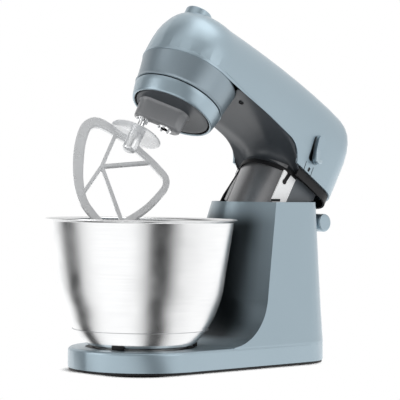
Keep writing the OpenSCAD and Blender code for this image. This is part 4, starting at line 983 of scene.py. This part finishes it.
def plate(name, places, thickness):
    """A flat plate with this outline, with half of its thickness on each side."""
    piece = polyline(name, places)
    bpy.ops.object.mode_set(mode="EDIT")
    bpy.ops.mesh.select_all(action="SELECT")
    bpy.ops.mesh.edge_face_add()
    bpy.ops.object.mode_set(mode="OBJECT")
    thicken(piece, thickness, offset=0)
    finish_piece(piece, "head", "black_plastic")


# Painted shade: the black ceiling stands for the dark inside of the head.
plate("head_ceiling", [lowered_to_frame(53 * math.sin(math.radians(a)),
                                        neck_y - 5 - 48 * math.cos(math.radians(a)), ceiling_z)
                       for a in range(0, 360, 10)], 0.002)

# %% [markdown]
# The neck's grey front is a half round tube that stands upright on the level head. A black
# inner tube peeks out behind its far side, where it slides past the column's rim. Both are
# lofted from arcs, because the inner one leans away from the front one as it goes down.

# %% Neck front and inner tube
tube_y = 203.5


def neck_arc(reach, shift, angles, height):
    """An arc of the neck at one height, moved to the far side by its shift."""
    return [lowered_to_frame(-0.8 * shift + reach * math.sin(math.radians(a)),
                             tube_y - 0.3 * shift - reach * math.cos(math.radians(a)), height)
            for a in angles]


def neck_piece(name, rows, thickness, slot, replaced, own=None):
    tube = loft(name, rows)
    face_outward(tube, lowered_to_frame(0, tube_y, 200))
    thicken(tube, thickness)
    finish_piece(tube, "head", slot, replaced, own=own)


neck_piece("neck_front", [neck_arc(51, 0, range(-88, 53, 4), height)
                          for height in (240, 222, 205, 190, 172, 158)],
           0.002, "grey_plastic", "neck_front_shell", "neck_plastic")
neck_piece("neck_inner_tube", [neck_arc(49.6, shift, range(-100, -39, 4), height) for height, shift in (
    (238, 2.5), (222, 5), (205, 8), (190, 11), (172, 12), (160, 12))],
           0.0015, "black_plastic", "neck_shield")

# %% [markdown]
# Two screws hold the dark underside. Only their wells show: a small dished ring with the dark
# recess in it, turned about the screw's own axis. The right one stands for the CAD screws.

# %% Screw wells
screw_x, screw_y, screw_z = 38, 61, 259
well_section = [(0.05, 2.6), (1.9, 2.6), (2.2, 0.9), (2.9, 0.4), (3.3, 0.8), (3.4, 2.6)]
sides = (("left", -1), ("right", 1))

for side, sign in sides:
    centre = lowered_to_frame(sign * screw_x, screw_y, screw_z)
    places = [centre + lowered_to_frame(reach, 0, rise) - lowered_to_frame(0, 0, 0)
              for reach, rise in well_section]
    well = turned(f"screw_well_{side}", places, centre, 32, hub_axis)
    finish_piece(well, "head", "black_plastic", *(["shell_screws"] if side == "right" else []))

# %% [markdown]
# The speed lever is a proud paddle with round ends. It stands well off the head at its lower
# end and fades into it at the top, so its side face is seen as a grey wedge over the dark slot.
# Its outline is repeated at six levels, the last ones drawn in to round its edge over.

# %% Speed lever
lever_y, lever_z, lever_length, lever_reach = 189, 288, 25, 6.4
lever_turn = math.radians(14)


def on_lever(across, along):
    """A place (y, z) on the head's side, across and along the leaning lever from its pivot."""
    return (lever_y + across * math.cos(lever_turn) - along * math.sin(lever_turn),
            lever_z + across * math.sin(lever_turn) + along * math.cos(lever_turn))


def paddle_outline(inset, lift_top, lift_tip):
    """The outline standing off the head's side by one lift at its top, another at its tip."""
    points = []
    for centre, first in ((0.0, 0), (-lever_length, 180)):
        for a in range(first, first + 181, 15):
            across = (lever_reach - inset) * math.cos(math.radians(a))
            along = centre + (lever_reach - inset) * math.sin(math.radians(a))
            share = (lever_reach - along) / (lever_length + 2 * lever_reach)
            lift = lift_top + (lift_tip - lift_top) * share
            points.append(lowered_to_frame(skin_x(lever_y) + lift, *on_lever(across, along)))
    return points + points[:1]


paddle = loft("lever_paddle", [paddle_outline(*level) for level in (
    (0.2, -2.5, 1.3), (0, -0.5, 7.6), (0.3, 0.4, 8.6), (1.1, 1.0, 9.2), (3.2, 1.1, 9.3),
    (6.38, 1.1, 9.3))])
close_seams(paddle)
smooth_by_angle(50)
finish_piece(paddle, "speed_lever", "blue_paint", own="lit_lever_paint")

# %% [markdown]
# Thin raised lines stand for what is printed or pressed beside the lever: the shadow gap round
# its tip, the index mark below it and the two grooves beside the mark. Each line is a strip
# of four drawn edges along its points, with its outer edges sunk into the shell.

# %% Lines beside the lever
def side_strip(name, points, width, out, slot="black_plastic"):
    """A raised strip along points (y, z) on the head's near side."""
    rows = []
    for sign, rise in ((-1, -0.3), (-1, out), (1, out), (1, -0.3)):
        row = []
        for i, (y, z) in enumerate(points):
            before, after = points[max(i - 1, 0)], points[min(i + 1, len(points) - 1)]
            run = Vector((after[0] - before[0], after[1] - before[1])).normalized()
            across = Vector((-run.y, run.x)) * sign * width / 2
            row.append(lowered_to_frame(skin_x(y) + rise, y + across.x, z + across.y))
        rows.append(row)
    strip = loft(name, rows)
    face_outward(strip, lowered_to_frame(0, *points[0]))
    finish_piece(strip, "head", slot)


gap_reach = 7.1
side_strip("lever_shadow_gap", [on_lever(gap_reach * math.sin(math.radians(a)),
                                         -lever_length - gap_reach * math.cos(math.radians(a)))
                                for a in range(-60, 181, 15)], 0.7, 0.1, "hub_paint")
side_strip("index_mark", [(192.5, 249.4), (192.1, 246.4), (191.8, 244)], 3.4, 0.2)
side_strip("lever_groove_front", [(182.5, 253), (184.4, 240)], 0.8, 0.16)
side_strip("lever_groove_rear", [(198, 253.5), (199.6, 238)], 0.8, 0.16)

# %% [markdown]
# In each side window of the neck a white plate carries a keyhole slot for the guide pin. A thin
# dark plate stands for the shade deep in the slot, with a round end and straight sides, and a
# second one paints the shade in the notch in the plate's lower edge.

# %% Keyholes and notches
keyhole_r = 3.4
keyhole_x, notch_x = 42.15, 42.2
keyhole = [(175.3 + keyhole_r * math.cos(math.radians(a)), 217.9 + keyhole_r * math.sin(math.radians(a)))
           for a in range(130, 391, 20)] + [(180.9, 233), (175.2, 234)]
plate_notch = [(166, 186.8), (180, 195.5), (181.5, 192.5), (167.5, 184)]

# Painted shade: the dark plates stand for the shade in the slot and in the notch.
for side, sign in sides:
    for name, x, outline in (("keyhole", keyhole_x, keyhole), ("plate_notch", notch_x, plate_notch)):
        plate(f"{name}_{side}", [lowered_to_frame(sign * x, y, z) for y, z in outline], 0.0006)

# %% [markdown]
# A shallow lid lies in the crown of the head. The gap round it is too fine for the light to
# show, so its shade is painted as a dark line laid along each long side, over the domed surface.

# %% Painted shade of the lid's gap
lid_half_width = 14.2
crown_z, crown_drop, crown_foot_z = 350.5, 18.5, 261.5
gap_shade_rows = ((-0.7, -0.5), (-0.6, 0.4), (0.6, 0.4), (0.7, -0.5))


def crown_height(x, y):
    """Height of the domed top of the head."""
    share = min(max(y / width_end, 0), 1)
    power = 2.6 + 0.9 * share
    top = crown_z - crown_drop * (1 - share) ** 1.7
    half = width_front - (width_front - width_rear) * share
    return crown_foot_z + (top - crown_foot_z) * (1 - (abs(x) / half) ** power) ** (1 / power)


for side, sign in sides:
    rows = [[lowered_to_frame(sign * (lid_half_width + out), y,
                              crown_height(lid_half_width + out, y) + lift)
             for y in range(32, 147, 6)] for out, lift in gap_shade_rows]
    # Painted shade: a dark line in the rubber finish stands for the gap round the lid.
    gap_shade_line = loft(f"lid_gap_shade_{side}", rows)
    face_outward(gap_shade_line, lowered_to_frame(0, 90, 300))
    finish_piece(gap_shade_line, "head", "rubber")
